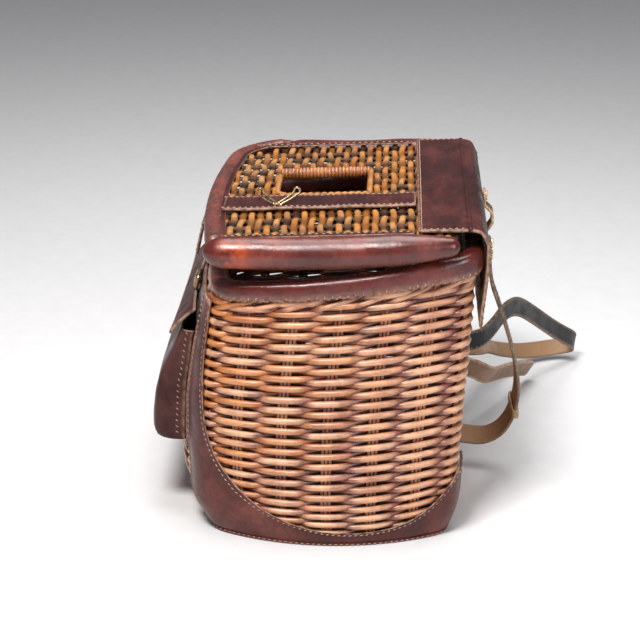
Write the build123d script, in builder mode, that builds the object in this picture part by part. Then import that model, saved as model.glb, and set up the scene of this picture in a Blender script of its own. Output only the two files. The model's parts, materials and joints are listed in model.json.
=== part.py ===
from build123d import *
import os
from math import cos, pi, radians, sin, tan

os.makedirs("parts", exist_ok=True)

# A leather-bound willow fishing creel. Millimetres, X along its width, front at -Y,
# Z up from the floor, origin at the middle of its foot.

# ---- fits shared by all pieces
seat_gap = 0.2
soft_gap = 0.35
running_gap = 0.06
leather = 2.6

# ---- woven wall: outline at each level, from the foot up
wall = 7.0
wall_heights = [2.8, 18.0, 50.0, 110.0, 175.0, 245.0, 290.0]
wall_half_widths = [157.0, 160.0, 162.0, 162.5, 162.5, 162.0, 161.0]
wall_end_bulges = [31.0, 30.0, 28.0, 24.0, 19.0, 14.0, 12.0]
wall_fronts = [-96.0, -104.0, -109.0, -111.0, -104.0, -90.0, -80.0]
wall_bulges = [20.0, 24.0, 26.0, 20.0, 13.0, 11.0, 10.0]
wall_backs = [102.0, 108.0, 113.0, 117.0, 122.0, 125.0, 126.0]
front_corner = 30.0
back_corner = 22.0
floor_weave = 8.0

# ---- rim: a bent hoop inside a padded leather band, low in front and high behind
rim_level = 240.0
rim_proud = 5.5
rim_inside = 4.0
hoop_wide = 8.0
hoop_tall = 7.0
hoop_cover = 6.0
rim_side = [-150.0, 20.0, 150.0]
rim_top = [225.5, 236.0, 261.0]
rim_low = [209.5, 218.5, 239.0]
rim_round = 4.0

# ---- end boots: leather over the lower corners, cut to a deep U on each end
boot_reach = 138.0
boot_top = 209.0
boot_curve = [(-96.0, 205.0), (-103.0, 140.0), (-95.0, 78.0), (-54.0, 32.0), (12.0, 11.0),
              (84.0, 28.0), (114.0, 62.0)]
far_out = 260.0

# ---- front yoke and pocket
yoke_half = 136.0
yoke_step = 176.0
panel_half = 118.0
panel_foot = 60.0
panel_top = 207.0
pocket_half = 114.0
pocket_foot = 66.0
pocket_mouth = 166.0
pocket_grow = [40.0, 41.0, 42.0, 38.0, 16.5, 8.0, 8.0]
pocket_bulges = [2.0, 2.0, 2.0, 3.0, 5.0, 8.0, 8.0]
flap_half = 117.0
flap_pivot_z = 185.5
flap_levels = [164.0, 171.0, 178.0, 183.0, 186.5]
flap_grow = [36.0, 31.0, 21.5, 13.0, 5.8]
flap_bulges = [-5.0, -4.0, 1.5, 7.5, 12.7]

# ---- lid, drawn flat in its own tilted plane, with the hinge axis as its origin
hinge_y = 118.0
hinge_z = 271.0
lid_tilt = 2.1
lid_half = 188.0
lid_front = -230.0
lid_front_corner = -216.0
lid_near_corner = 34.0
lid_far_corner = 74.0
lid_back = -10.0
lid_top = -1.6
lid_weave = 8.0
roll_radius = 13.5
roll_drop = 8.7
roll_tip_radius = 7.0
roll_taper_start = -58.0
roll_back = -9.0
roll_front_right = -220.0
roll_front_left = -172.0
roll_core = 4.5
core_end = 24.0
edge_radius = 8.0
edge_drop = 6.5
edge_rod = 3.5
binding_lap = 1.5
hole_near = 20.0
hole_far = -64.0
hole_front = -168.0
hole_back = -86.0
hole_round = 16.0
bar_radius = 5.5
bar_rod = 3.0
bar_lift = 2.0

# ---- strap over the lid, its hanging tongue and the wire clip
strap_x = 56.0
lid_strap_wide = 42.0
strap_start = -44.0
strap_end = -212.4
tongue_y = -229.3
tongue_z = -13.5
tongue_wide = 32.0
tongue_bead = 1.7
tongue_long = 31.0
tongue_lean = 13.0
tongue_leather = 2.2
clip_wire = 0.9
clip_root = (72.0, -164.0)
clip_reach = 30.0
clip_spread = 16.0
clip_gape = 4.5
clip_rise = 7.0

# ---- leather hinge
hinge_half = 160.0
hinge_seam = -43.0
hinge_bead = 2.1
hinge_route = [(118.0, 271.0), (127.5, 269.5), (133.2, 258.0), (133.2, 238.0), (128.0, 187.0)]
hinge_bends = [6.0, 6.0, 20.0]

# ---- front buckle: bar height above the yoke, its chape and its wire
buckle_z = 191.5
buckle_wire = 1.5
buckle_half = 13.0
buckle_tall = 9.5
bar_height = 3.6
chape_half = 9.0
chape_long = 4.5
chape_leather = 1.7
prong_slot = 2.6
prong_half = 2.2
prong_wire = 1.1
prong_ring = 2.6

# ---- harness straps, routes from the upper anchor to the lower one
strap_thick = 3.0
strap_wide = 20.0
near_route = [(100.0, 136.4, 248.0), (100.0, 136.4, 216.0), (97.0, 146.0, 190.0),
              (85.0, 155.0, 160.0), (65.0, 162.5, 130.0), (45.0, 168.0, 99.0), (25.0, 166.5, 67.0),
              (12.0, 158.0, 42.0), (5.0, 143.0, 29.0), (0.0, 128.0, 27.7), (0.0, 113.8, 30.0)]
far_route = [(-46.0, 120.4, 104.0), (-47.0, 136.0, 104.0), (-80.0, 150.0, 106.0),
             (-115.0, 163.0, 112.0), (-158.0, 178.0, 104.0), (-205.0, 200.0, 76.0),
             (-252.0, 226.0, 44.0), (-292.0, 254.0, 18.0), (-296.0, 226.0, 11.5),
             (-276.0, 190.0, 13.0), (-235.0, 162.0, 30.0), (-180.0, 146.0, 54.0),
             (-126.0, 138.0, 70.0), (-122.0, 119.2, 72.0)]
waist_route = [(-86.0, 118.6, 66.0), (-87.0, 134.0, 62.0), (-98.0, 145.0, 52.0),
               (-120.0, 152.0, 43.0), (-150.0, 166.0, 37.0), (-188.0, 184.0, 26.0),
               (-225.0, 197.0, 13.0)]
route_fill = 0.42
least_turn = 2.0
keeper_node = 6
keeper_tall = 9.0
keeper_leather = 1.6
pad_tall = 40.0
pad_half = 15.0
pad_leather = 2.2
rivet_radius = 4.2
rivet_head = 1.5
rivet_edge = 5.0
rivet_pitch = 10.0
loop_x = -20.0
loop_half = 11.0
loop_route = [(136.2, 258.0), (136.2, 246.0), (143.5, 239.0), (143.8, 229.0), (136.4, 219.0),
              (134.2, 209.0)]
loop_bends = [5.0, 5.0, 5.0, 5.0]


def at_height(values, z):
    """Value of a wall measure at any height, between its two nearest levels."""
    for low in range(len(wall_heights) - 1):
        if z <= wall_heights[low + 1]:
            break
    share = (z - wall_heights[low]) / (wall_heights[low + 1] - wall_heights[low])
    return values[low] + share * (values[low + 1] - values[low])


def outline(z, grow, bulge):
    """Outline of the wall at height z, moved outward by grow, with its own front bulge."""
    half = at_height(wall_half_widths, z) + grow
    front = at_height(wall_fronts, z) - grow
    back = at_height(wall_backs, z) + grow
    end_bulge = at_height(wall_end_bulges, z)
    middle = (front + back) / 2
    with BuildSketch(Plane.XY.offset(z)) as section:
        with BuildLine():
            Line((-half, back), (half, back))
            ThreePointArc((half, back), (half + end_bulge, middle), (half, front))
            ThreePointArc((half, front), (0, front - bulge), (-half, front))
            ThreePointArc((-half, front), (-half - end_bulge, middle), (-half, back))
        make_face()
        fillet(section.vertices().group_by(Axis.Y)[-1], back_corner + grow)
        fillet(section.vertices().sort_by(Axis.Y)[:2], front_corner + grow)
    return section.sketch


def wall_section(z, grow):
    """Outline of the woven wall at height z, moved outward by grow."""
    return outline(z, grow, at_height(wall_bulges, z))


def lofted(levels, grows, bulges):
    """Solid form through one outline at each level."""
    with BuildPart() as form:
        loft([outline(z, grow, bulge) for z, grow, bulge in zip(levels, grows, bulges)])
    return form.part


def wall_solid(grows):
    """The full form of the wall, moved outward by its own amount at each level."""
    return lofted(wall_heights, grows, wall_bulges)


def flat_section(z, grow):
    """Outline of the wall at height z, laid down on the floor."""
    return wall_section(z, grow).moved(Location((0, 0, -z)))


def even(grow):
    """The same growth at every level of the wall."""
    return [grow] * len(wall_heights)


def side_band(lower, upper):
    """Slab between two arcs drawn on the side view, right across the creel."""
    low = [(y, z) for y, z in zip(rim_side, lower)]
    top = [(y, z) for y, z in zip(rim_side, upper)]
    with BuildPart() as band:
        with BuildSketch(Plane.YZ):
            with BuildLine():
                ThreePointArc(*low)
                Line(low[2], top[2])
                ThreePointArc(*top)
                Line(top[0], low[0])
            make_face()
        extrude(amount=far_out, both=True)
    return band.part


def rim_ring(outer, inner, lower, upper):
    """Hoop that follows the rim's plan, cut to a curved band on the side view."""
    with BuildPart() as ring:
        add(wall_section(rim_level, outer))
        extrude(amount=rim_level, both=True)
        with BuildSketch(Plane.XY):
            add(flat_section(rim_level, -inner))
        extrude(amount=2 * rim_level, mode=Mode.SUBTRACT)
        add(side_band(lower, upper), mode=Mode.INTERSECT)
    return ring.part


def skin(grow_in, grow_out):
    """Leather skin that lies on the outside of the woven wall."""
    with BuildPart() as cover:
        add(wall_solid(even(grow_out)))
        add(wall_solid(even(grow_in)), mode=Mode.SUBTRACT)
    return cover.part


def raised(values, lift):
    """Every height of a curve lifted by the same amount."""
    return [value + lift for value in values]


def save(name, shape):
    """Label a finished piece and write it to its own file."""
    shape.label = name
    export_step(shape, "parts/" + name + ".step")


# ================= woven body
low_cut = raised(rim_low, -seat_gap)
with BuildPart() as wicker_body:
    add(wall_solid(even(0)))
    add(wall_solid(even(-wall)), mode=Mode.SUBTRACT)
    add(side_band(low_cut, raised(rim_top, far_out)), mode=Mode.SUBTRACT)
save("wicker_body", wicker_body.part)

with BuildPart() as wicker_base:
    add(wall_solid(even(-wall - soft_gap)))
    with BuildSketch(Plane.XY.offset(wall_heights[0] + floor_weave)):
        Rectangle(2 * far_out, 2 * far_out)
    extrude(amount=far_out * 2, mode=Mode.SUBTRACT)
save("wicker_base", wicker_base.part)

# ================= leather sole under the floor
with BuildPart() as base_leather:
    add(flat_section(wall_heights[0], leather))
    extrude(amount=leather)
    fillet(base_leather.faces().sort_by(Axis.Z)[0].edges(), leather / 2)
save("base_leather", base_leather.part)

# ================= rim
with BuildPart() as rim_binding:
    add(rim_ring(rim_proud, wall + rim_inside, rim_low, rim_top))
    top_face = rim_binding.faces().filter_by(GeomType.CYLINDER).sort_by(Axis.Z)[-1]
    fillet(top_face.edges(), rim_round)
    hoop_low = raised(rim_top, -hoop_cover - hoop_tall - seat_gap)
    hoop_top = raised(rim_top, -hoop_cover + seat_gap)
    hoop_out = (rim_proud - wall - rim_inside + hoop_wide) / 2
    add(rim_ring(hoop_out + seat_gap, hoop_wide - hoop_out + seat_gap, hoop_low, hoop_top),
        mode=Mode.SUBTRACT)
save("rim_binding", rim_binding.part)

with BuildPart() as rim_hoop:
    add(rim_ring(hoop_out, hoop_wide - hoop_out, raised(hoop_low, seat_gap),
                 raised(hoop_top, -seat_gap)))
save("rim_hoop", rim_hoop.part)

# ================= end boots
with BuildPart() as boot_region:
    with BuildSketch(Plane.YZ.offset(boot_reach)):
        with BuildLine():
            Spline(*boot_curve)
            Polyline(boot_curve[-1], (far_out, boot_curve[-1][1]), (far_out, 0), (-far_out, 0),
                     (-far_out, boot_top), (boot_curve[0][0], boot_top), boot_curve[0])
        make_face()
    extrude(amount=far_out)

with BuildPart() as end_boot_right:
    add(skin(seat_gap, leather))
    add(boot_region.part, mode=Mode.INTERSECT)
save("end_boot_right", end_boot_right.part)

with BuildPart() as end_boot_left:
    add(end_boot_right.part.mirror(Plane.YZ))
save("end_boot_left", end_boot_left.part)

# ================= front yoke, with the pocket's back below it
with BuildPart() as front_panel:
    add(skin(seat_gap, leather))
    with BuildSketch(Plane.XZ):
        with BuildLine():
            Polyline((-yoke_half, panel_top), (-yoke_half, yoke_step), (-panel_half, yoke_step),
                     (-panel_half, panel_foot), (panel_half, panel_foot), (panel_half, yoke_step),
                     (yoke_half, yoke_step), (yoke_half, panel_top), close=True)
        make_face()
    extrude(amount=far_out, mode=Mode.INTERSECT)
save("front_panel", front_panel.part)

# ================= pocket: a wedge-shaped pouch, open at its mouth
pocket_inner = [grow - leather for grow in pocket_grow]
with BuildPart() as pocket_hollow:
    add(lofted(wall_heights, pocket_inner, pocket_bulges))
    with BuildSketch(Plane.XZ):
        with Locations((0, pocket_foot + leather)):
            Rectangle(2 * (pocket_half - leather), far_out, align=(Align.CENTER, Align.MIN))
    extrude(amount=far_out, mode=Mode.INTERSECT)

with BuildPart() as pocket_pouch:
    add(lofted(wall_heights, pocket_grow, pocket_bulges))
    with BuildSketch(Plane.XZ):
        with Locations((0, (pocket_foot + pocket_mouth) / 2)):
            Rectangle(2 * pocket_half, pocket_mouth - pocket_foot)
    extrude(amount=far_out, mode=Mode.INTERSECT)
    add(pocket_hollow.part, mode=Mode.SUBTRACT)
    add(wall_solid(even(leather + seat_gap)), mode=Mode.SUBTRACT)
save("pocket_pouch", pocket_pouch.part)

# ================= pocket flap: a hood that flares out over the mouth
with BuildPart() as pocket_flap:
    add(lofted(flap_levels, flap_grow, flap_bulges))
    add(lofted(flap_levels, raised(flap_grow, -leather), flap_bulges), mode=Mode.SUBTRACT)
    with BuildSketch(Plane.XZ):
        with Locations((0, flap_pivot_z)):
            Rectangle(2 * flap_half, far_out)
    extrude(amount=far_out, mode=Mode.INTERSECT)
save("pocket_flap", pocket_flap.part)

# ================= lid
lid_plane = Plane(origin=(0, hinge_y, hinge_z), x_dir=(1, 0, 0),
                  z_dir=(0, -sin(radians(lid_tilt)), cos(radians(lid_tilt))))


def lid_outline(inset_ends, inset_front, height):
    """Plan of the lid in its own plane, drawn in from its ends and its front."""
    half = lid_half - inset_ends
    corner = lid_front_corner + inset_front
    with BuildSketch(lid_plane.offset(height)) as plan:
        with BuildLine():
            Line((-half, lid_back), (half, lid_back))
            Line((half, lid_back), (half, corner))
            ThreePointArc((half, corner), (0, lid_front + inset_front), (-half, corner))
            Line((-half, corner), (-half, lid_back))
        make_face()
        far, near = plan.vertices().sort_by(lid_plane.location.y_axis)[:2].sort_by(Axis.X)
        fillet(far, lid_far_corner - inset_front)
        fillet(near, lid_near_corner - inset_front)
    return plan.sketch


def side_plane(x):
    """Side view of the lid at x: its own Y to the right and its own height up."""
    origin = lid_plane.from_local_coords((x, 0, 0))
    return Plane(origin=origin, x_dir=lid_plane.y_dir, z_dir=(1, 0, 0))


def spindle(x, front, grow):
    """Fat rolled edge along one end of the lid, blunt in front and tapered behind."""
    tip = roll_back + grow
    nose = front - grow
    fat = roll_radius + grow
    with BuildPart() as roll:
        with BuildSketch(side_plane(x)):
            with BuildLine():
                Line((tip, -roll_drop), (tip, roll_tip_radius + grow - roll_drop))
                Line((tip, roll_tip_radius + grow - roll_drop),
                     (roll_taper_start, fat - roll_drop))
                Line((roll_taper_start, fat - roll_drop), (nose + fat, fat - roll_drop))
                ThreePointArc((nose + fat, fat - roll_drop),
                              (nose + fat * (1 - sin(pi / 4)), fat * sin(pi / 4) - roll_drop),
                              (nose, -roll_drop))
                Line((nose, -roll_drop), (tip, -roll_drop))
            make_face()
        axis_point = lid_plane.from_local_coords((x, 0, -roll_drop))
        revolve(axis=Axis(axis_point, lid_plane.y_dir))
    return roll.part


def core_rod(x, front, grow, beyond):
    """Straight cane inside a rolled edge, from near its nose to beyond its back end."""
    with BuildPart() as rod:
        start = lid_plane.from_local_coords((x, front + core_end - grow, -roll_drop))
        with BuildSketch(Plane(origin=start, x_dir=(1, 0, 0), z_dir=lid_plane.y_dir)):
            Circle(roll_core + grow)
        extrude(amount=roll_back + beyond - front - core_end + grow)
    return rod.part


def front_tube(radius):
    """Round bar along the lid's front edge and round both front corners."""
    half = lid_half - edge_radius
    corner = lid_front_corner + edge_radius
    with BuildPart() as tube:
        with BuildLine(lid_plane.offset(-edge_drop)) as path:
            Line((half, corner / 2), (half, corner))
            ThreePointArc((half, corner), (0, lid_front + edge_radius), (-half, corner))
            Line((-half, corner), (-half, corner / 2))
            far_corner = path.vertices().sort_by(lid_plane.location.y_axis)[:2].sort_by(Axis.X)[0]
            fillet(far_corner, lid_far_corner - edge_radius)
            near_corner = path.vertices().group_by(Axis.X)[-1].sort_by(
                lid_plane.location.y_axis)[0]
            fillet(near_corner, lid_near_corner - edge_radius)
        with BuildSketch(Plane(origin=path.line @ 0, z_dir=path.line % 0)):
            Circle(radius)
        sweep()
    return tube.part


roll_x = lid_half - roll_radius
with BuildPart() as lid_wicker:
    add(lid_outline(2 * roll_radius + soft_gap, 2 * edge_radius - binding_lap,
                    lid_top - lid_weave))
    extrude(amount=lid_weave, dir=lid_plane.z_dir)
    with BuildSketch(lid_plane.offset(lid_top)) as hole_plan:
        with Locations(((hole_near + hole_far) / 2, (hole_front + hole_back) / 2)):
            Rectangle(hole_near - hole_far, hole_back - hole_front)
        near_front = hole_plan.vertices().sort_by(lid_plane.location.y_axis)[:2].sort_by(Axis.X)
        fillet(near_front[-1], hole_round)
    extrude(amount=-lid_weave, mode=Mode.SUBTRACT)
    add(front_tube(edge_radius + seat_gap), mode=Mode.SUBTRACT)
save("lid_wicker", lid_wicker.part)

ends = {"right": (roll_x, roll_front_right), "left": (-roll_x, roll_front_left)}
for side, (x, front) in ends.items():
    with BuildPart() as lid_end_roll:
        add(spindle(x, front, 0))
        add(core_rod(x, front, seat_gap, core_end), mode=Mode.SUBTRACT)
    save("lid_end_roll_" + side, lid_end_roll.part)
    with BuildPart() as lid_end_core:
        add(core_rod(x, front, 0, -seat_gap))
    save("lid_end_core_" + side, lid_end_core.part)

with BuildPart() as front_edge:
    add(front_tube(edge_radius))
    for x, front in ends.values():
        add(spindle(x, front, seat_gap), mode=Mode.SUBTRACT)
    with BuildSketch(lid_plane):
        with Locations((0, roll_front_left + roll_radius)):
            Rectangle(far_out * 2, far_out, align=(Align.CENTER, Align.MIN))
    extrude(amount=far_out, both=True, mode=Mode.SUBTRACT)
    front_piece = front_edge.solids().sort_by(SortBy.VOLUME)[-1]
with BuildPart() as lid_front_binding:
    add(front_piece)
    add(front_tube(edge_rod + seat_gap), mode=Mode.SUBTRACT)
save("lid_front_binding", lid_front_binding.part)

with BuildPart() as lid_front_rod:
    add(front_piece)
    add(front_tube(edge_rod), mode=Mode.INTERSECT)
save("lid_front_rod", lid_front_rod.part)

# ================= leather over the lid
strap_low = lid_top + seat_gap
with BuildPart() as lid_strap:
    with BuildSketch(side_plane(strap_x)):
        with BuildLine():
            Line((strap_start, strap_low), (strap_start, strap_low + leather))
            Line((strap_start, strap_low + leather), (strap_end, strap_low + leather))
            Line((strap_end, strap_low + leather), (strap_end, strap_low))
            Line((strap_end, strap_low), (strap_start, strap_low))
        make_face()
    extrude(amount=lid_strap_wide / 2, both=True)
save("lid_strap", lid_strap.part)

tongue_pin = lid_plane.from_local_coords((strap_x, tongue_y, tongue_z))
lean = radians(tongue_lean)
tongue_plane = Plane(origin=tongue_pin, x_dir=(1, 0, 0), z_dir=(0, -sin(lean), -cos(lean)))
with BuildPart() as closing_tongue:
    with BuildSketch(tongue_plane):
        Rectangle(tongue_wide, tongue_leather)
    extrude(amount=tongue_long)
    tip_edges = closing_tongue.edges().filter_by(Axis((0, 0, 0), tongue_plane.y_dir))
    fillet(tip_edges.sort_by(Axis.Z)[:2], tongue_wide / 3)
    with BuildSketch(Plane.YZ.offset(strap_x - tongue_wide / 2)):
        with Locations((tongue_pin.Y, tongue_pin.Z)):
            Circle(tongue_bead)
    extrude(amount=tongue_wide)
save("closing_tongue", closing_tongue.part)

bar_x = hole_far + bar_radius + soft_gap
bar_drop = lid_top - lid_weave / 2 + bar_lift
with BuildPart() as hole_bar:
    bar_start = lid_plane.from_local_coords((bar_x, hole_front + soft_gap, bar_drop))
    with BuildSketch(Plane(origin=bar_start, x_dir=(1, 0, 0), z_dir=lid_plane.y_dir)):
        Circle(bar_radius)
        Circle(bar_rod + seat_gap, mode=Mode.SUBTRACT)
    extrude(amount=hole_back - hole_front - 2 * soft_gap)
save("hole_bar", hole_bar.part)

with BuildPart() as hole_bar_rod:
    with BuildSketch(Plane(origin=bar_start, x_dir=(1, 0, 0), z_dir=lid_plane.y_dir)):
        Circle(bar_rod)
    extrude(amount=hole_back - hole_front - 2 * soft_gap)
save("hole_bar_rod", hole_bar_rod.part)

clip_low = strap_low + leather + clip_wire + seat_gap
with BuildPart() as wire_clip:
    for hand in (-1, 1):
        tip_x = clip_root[0] - clip_reach
        tip_y = clip_root[1] + hand * clip_spread
        leg = [(clip_root[0], clip_root[1] - clip_gape / 2, clip_low),
               (tip_x, tip_y - clip_gape / 2, clip_low + clip_rise),
               (tip_x, tip_y + clip_gape / 2, clip_low + clip_rise),
               (clip_root[0], clip_root[1] + clip_gape / 2, clip_low)]
        points = [lid_plane.from_local_coords(point) for point in leg]
        with BuildLine() as wire:
            FilletPolyline(*points, radius=2 * clip_wire)
        with BuildSketch(Plane(origin=wire.line @ 0, z_dir=wire.line % 0)):
            Circle(clip_wire)
        sweep(path=wire.line)
    root = lid_plane.from_local_coords((clip_root[0], clip_root[1] - clip_gape / 2, clip_low))
    with BuildSketch(Plane(origin=root, x_dir=(1, 0, 0), z_dir=lid_plane.y_dir)):
        Circle(clip_wire)
    extrude(amount=clip_gape)
save("wire_clip", wire_clip.part)

# ================= leather hinge
with BuildPart() as hinge_leather_lid:
    with BuildSketch(side_plane(-hinge_half)):
        with Locations((hinge_seam / 2, strap_low + leather / 2)):
            Rectangle(-hinge_seam, leather)
        Circle(hinge_bead)
    extrude(amount=2 * hinge_half)
save("hinge_leather_lid", hinge_leather_lid.part)


def stroke(points, bends, thick, x, half):
    """Leather of one thickness along a side-view route, half wide each side of x."""
    with BuildLine() as route:
        FilletPolyline(*points, radius=bends)
    with BuildPart() as strip:
        with BuildSketch(Plane.YZ.offset(x)):
            with BuildLine():
                offset(route.line, amount=thick / 2, side=Side.BOTH)
            make_face()
        extrude(amount=half, both=True)
    return strip.part


with BuildPart() as hinge_leather_back:
    add(stroke(hinge_route, hinge_bends, leather, 0, hinge_half))
    with BuildSketch(Plane.YZ.offset(-far_out)):
        with Locations(hinge_route[0]):
            Circle(hinge_bead + running_gap)
    extrude(amount=2 * far_out, mode=Mode.SUBTRACT)
save("hinge_leather_back", hinge_leather_back.part)

with BuildPart() as back_loop:
    add(stroke(loop_route, loop_bends, leather, loop_x, loop_half))
save("back_loop", back_loop.part)

# ================= front buckle, on a plane that leans with the wall
yoke_x_share = 1 - (strap_x / at_height(wall_half_widths, buckle_z)) ** 2


def yoke_face(z):
    """Y of the yoke's outer face in front of the buckle."""
    bulge = at_height(wall_bulges, z) * yoke_x_share
    return at_height(wall_fronts, z) - bulge - leather


lean_run = yoke_face(buckle_z + buckle_tall) - yoke_face(buckle_z)
up = Vector(0, lean_run, buckle_tall).normalized()
face = Plane(origin=(strap_x, yoke_face(buckle_z), buckle_z), x_dir=(1, 0, 0),
             z_dir=Vector(1, 0, 0).cross(up))
bar_plane = face.offset(bar_height)
arm = 2 * buckle_wire
with BuildPart() as buckle_frame:
    with BuildSketch(bar_plane.offset(-buckle_wire)):
        with Locations((0, buckle_tall / 2)):
            Rectangle(2 * buckle_half, buckle_tall)
        with Locations((0, (buckle_tall - arm) / 2)):
            Rectangle(2 * (buckle_half - arm), buckle_tall - arm, mode=Mode.SUBTRACT)
    extrude(amount=arm)
    corners = buckle_frame.edges().filter_by(Axis((0, 0, 0), bar_plane.z_dir))
    fillet(corners.sort_by(Axis.Z)[-4:], buckle_wire)
    bar_end = bar_plane.from_local_coords((-buckle_half, 0, 0))
    with BuildSketch(Plane(origin=bar_end, z_dir=(1, 0, 0))):
        Circle(buckle_wire)
    extrude(amount=2 * buckle_half)
save("buckle_frame", buckle_frame.part)

bore = buckle_wire + running_gap
knuckle = bore + chape_leather
with BuildPart() as buckle_chape:
    chape_end = bar_plane.from_local_coords((-chape_half, 0, 0))
    with BuildSketch(Plane(origin=chape_end, z_dir=(1, 0, 0))):
        Circle(knuckle)
    extrude(amount=2 * chape_half)
    with BuildSketch(face.offset(bar_height - knuckle)):
        with Locations((0, -chape_long / 2)):
            Rectangle(2 * chape_half, chape_long)
    extrude(amount=chape_leather)
    with BuildSketch(face):
        Rectangle(2 * prong_slot, 2 * (knuckle + soft_gap))
    extrude(amount=3 * knuckle, mode=Mode.SUBTRACT)
    with BuildSketch(Plane(origin=chape_end, z_dir=(1, 0, 0))):
        Circle(bore)
    extrude(amount=2 * chape_half, mode=Mode.SUBTRACT)
save("buckle_chape", buckle_chape.part)

with BuildPart() as buckle_prong:
    ring_end = bar_plane.from_local_coords((-prong_half, 0, 0))
    with BuildSketch(Plane(origin=ring_end, z_dir=(1, 0, 0))):
        Circle(prong_ring + bore - buckle_wire)
        Circle(bore, mode=Mode.SUBTRACT)
    extrude(amount=2 * prong_half)
    pin_start = bar_plane.from_local_coords((0, 0, buckle_wire + prong_wire + soft_gap / 2))
    with BuildSketch(Plane(origin=pin_start, x_dir=(1, 0, 0), z_dir=bar_plane.y_dir)):
        Circle(prong_wire)
    extrude(amount=buckle_tall + prong_wire)
save("buckle_prong", buckle_prong.part)


# ================= harness
def bends_of(route):
    """Radius of each bend: as large as its two runs allow."""
    bends = []
    for before, here, after in zip(route, route[1:], route[2:]):
        first = Vector(*here) - Vector(*before)
        second = Vector(*after) - Vector(*here)
        shorter = min(first.length, second.length)
        half_turn = radians(max(first.get_angle(second), least_turn) / 2)
        bends.append(route_fill * shorter / tan(half_turn))
    return bends


def strap(route, flat, grow):
    """Leather strap swept along its route, with flat as the way its width starts."""
    with BuildPart() as band:
        with BuildLine() as path:
            FilletPolyline(*route, radius=bends_of(route))
        with BuildSketch(Plane(origin=path.line @ 0, x_dir=flat, z_dir=path.line % 0)):
            Rectangle(strap_wide + 2 * grow, strap_thick + 2 * grow)
        sweep()
    return band.part


routes = {"strap_near": (near_route, (1, 0, 0)), "strap_far": (far_route, (0, 0, 1)),
          "strap_waist": (waist_route, (0, 0, 1))}
for name, (route, flat) in routes.items():
    with BuildPart() as harness:
        add(strap(route, flat, 0))
    save(name, harness.part)

with BuildPart() as strap_keeper:
    add(strap(near_route, routes["strap_near"][1], seat_gap + keeper_leather))
    with BuildSketch(Plane.XY.offset(near_route[keeper_node][2] - keeper_tall / 2)):
        Rectangle(2 * far_out, 2 * far_out)
    extrude(amount=keeper_tall, mode=Mode.INTERSECT)
    add(strap(near_route, routes["strap_near"][1], seat_gap), mode=Mode.SUBTRACT)
save("strap_keeper", strap_keeper.part)

# ================= leather pads that the straps come out of, and their rivets
pad_places = [near_route[-1], far_route[0], far_route[-1], waist_route[0]]
with BuildPart() as strap_pads:
    add(skin(seat_gap, pad_leather + seat_gap))
    with BuildSketch(Plane.XZ.offset(-far_out)):
        for x, y, z in pad_places:
            with Locations((x, z)):
                RectangleRounded(2 * pad_half, pad_tall, pad_half / 3)
    extrude(amount=far_out, mode=Mode.INTERSECT)
save("strap_pads", strap_pads.part)


def back_face(z):
    """Y of the outer face of a pad on the back wall."""
    return at_height(wall_backs, z) + seat_gap + pad_leather


def rivet(x, y, z, lean_back):
    """Domed rivet head that stands out of a face on the back."""
    seat = Plane(origin=(x, y + seat_gap, z), x_dir=(1, 0, 0), z_dir=(0, 1, lean_back))
    with BuildPart() as head:
        with BuildSketch(seat):
            Circle(rivet_radius)
        extrude(amount=rivet_head)
        fillet(head.edges().sort_by(Axis.Y)[-1], rivet_head / 2)
    return head.part


rivet_up = (strap_wide + pad_tall) / 4
with BuildPart() as rivets:
    for x, y, z in pad_places[1:]:
        for up_down in (-rivet_up, rivet_up):
            slope = (back_face(z + up_down + 1) - back_face(z + up_down - 1)) / 2
            add(rivet(x, back_face(z + up_down), z + up_down, -slope))
    strap_face = near_route[0][1] + strap_thick / 2
    for below in (rivet_edge, rivet_edge + rivet_pitch):
        add(rivet(near_route[0][0], strap_face, near_route[0][2] - below, 0))
    add(rivet(loop_x, loop_route[0][0] + leather / 2, loop_route[0][1] - rivet_edge, 0))
save("rivets", rivets.part)
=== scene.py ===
import json
import math
import random

import bpy
import numpy as np
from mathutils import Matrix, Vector, noise
from mathutils.bvhtree import BVHTree


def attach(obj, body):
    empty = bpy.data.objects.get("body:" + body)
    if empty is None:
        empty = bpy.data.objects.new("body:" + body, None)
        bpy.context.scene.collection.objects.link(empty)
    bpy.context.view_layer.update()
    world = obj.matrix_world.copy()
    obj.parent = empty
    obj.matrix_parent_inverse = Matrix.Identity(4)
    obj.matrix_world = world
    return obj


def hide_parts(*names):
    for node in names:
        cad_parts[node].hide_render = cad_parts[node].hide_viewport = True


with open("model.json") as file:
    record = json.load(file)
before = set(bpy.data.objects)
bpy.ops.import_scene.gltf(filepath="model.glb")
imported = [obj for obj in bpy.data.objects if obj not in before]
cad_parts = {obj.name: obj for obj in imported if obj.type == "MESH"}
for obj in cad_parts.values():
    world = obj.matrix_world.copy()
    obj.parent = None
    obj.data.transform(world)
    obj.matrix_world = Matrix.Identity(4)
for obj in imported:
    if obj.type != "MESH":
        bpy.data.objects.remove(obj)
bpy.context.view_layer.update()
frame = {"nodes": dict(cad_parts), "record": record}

MM = 0.001
rng = random.Random(7)
LENS, SENSOR = 114.26, 36.0
CAMERA_PLACE = (1.76421, 0.05812, 0.73360)
CAMERA_WAY = (-0.94687, -0.03763, -0.31940)

# ---------------------------------------------------------------- camera, floor and light
scene = bpy.context.scene
scene.view_settings.view_transform = "Standard"
camera_data = bpy.data.cameras.new("camera")
camera_data.lens = LENS
camera_data.sensor_width = SENSOR
camera_data.clip_end = 50.0
camera = bpy.data.objects.new("camera", camera_data)
camera.location = CAMERA_PLACE
camera.rotation_euler = Vector(CAMERA_WAY).to_track_quat("-Z", "Y").to_euler()
scene.collection.objects.link(camera)
scene.camera = camera


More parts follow.
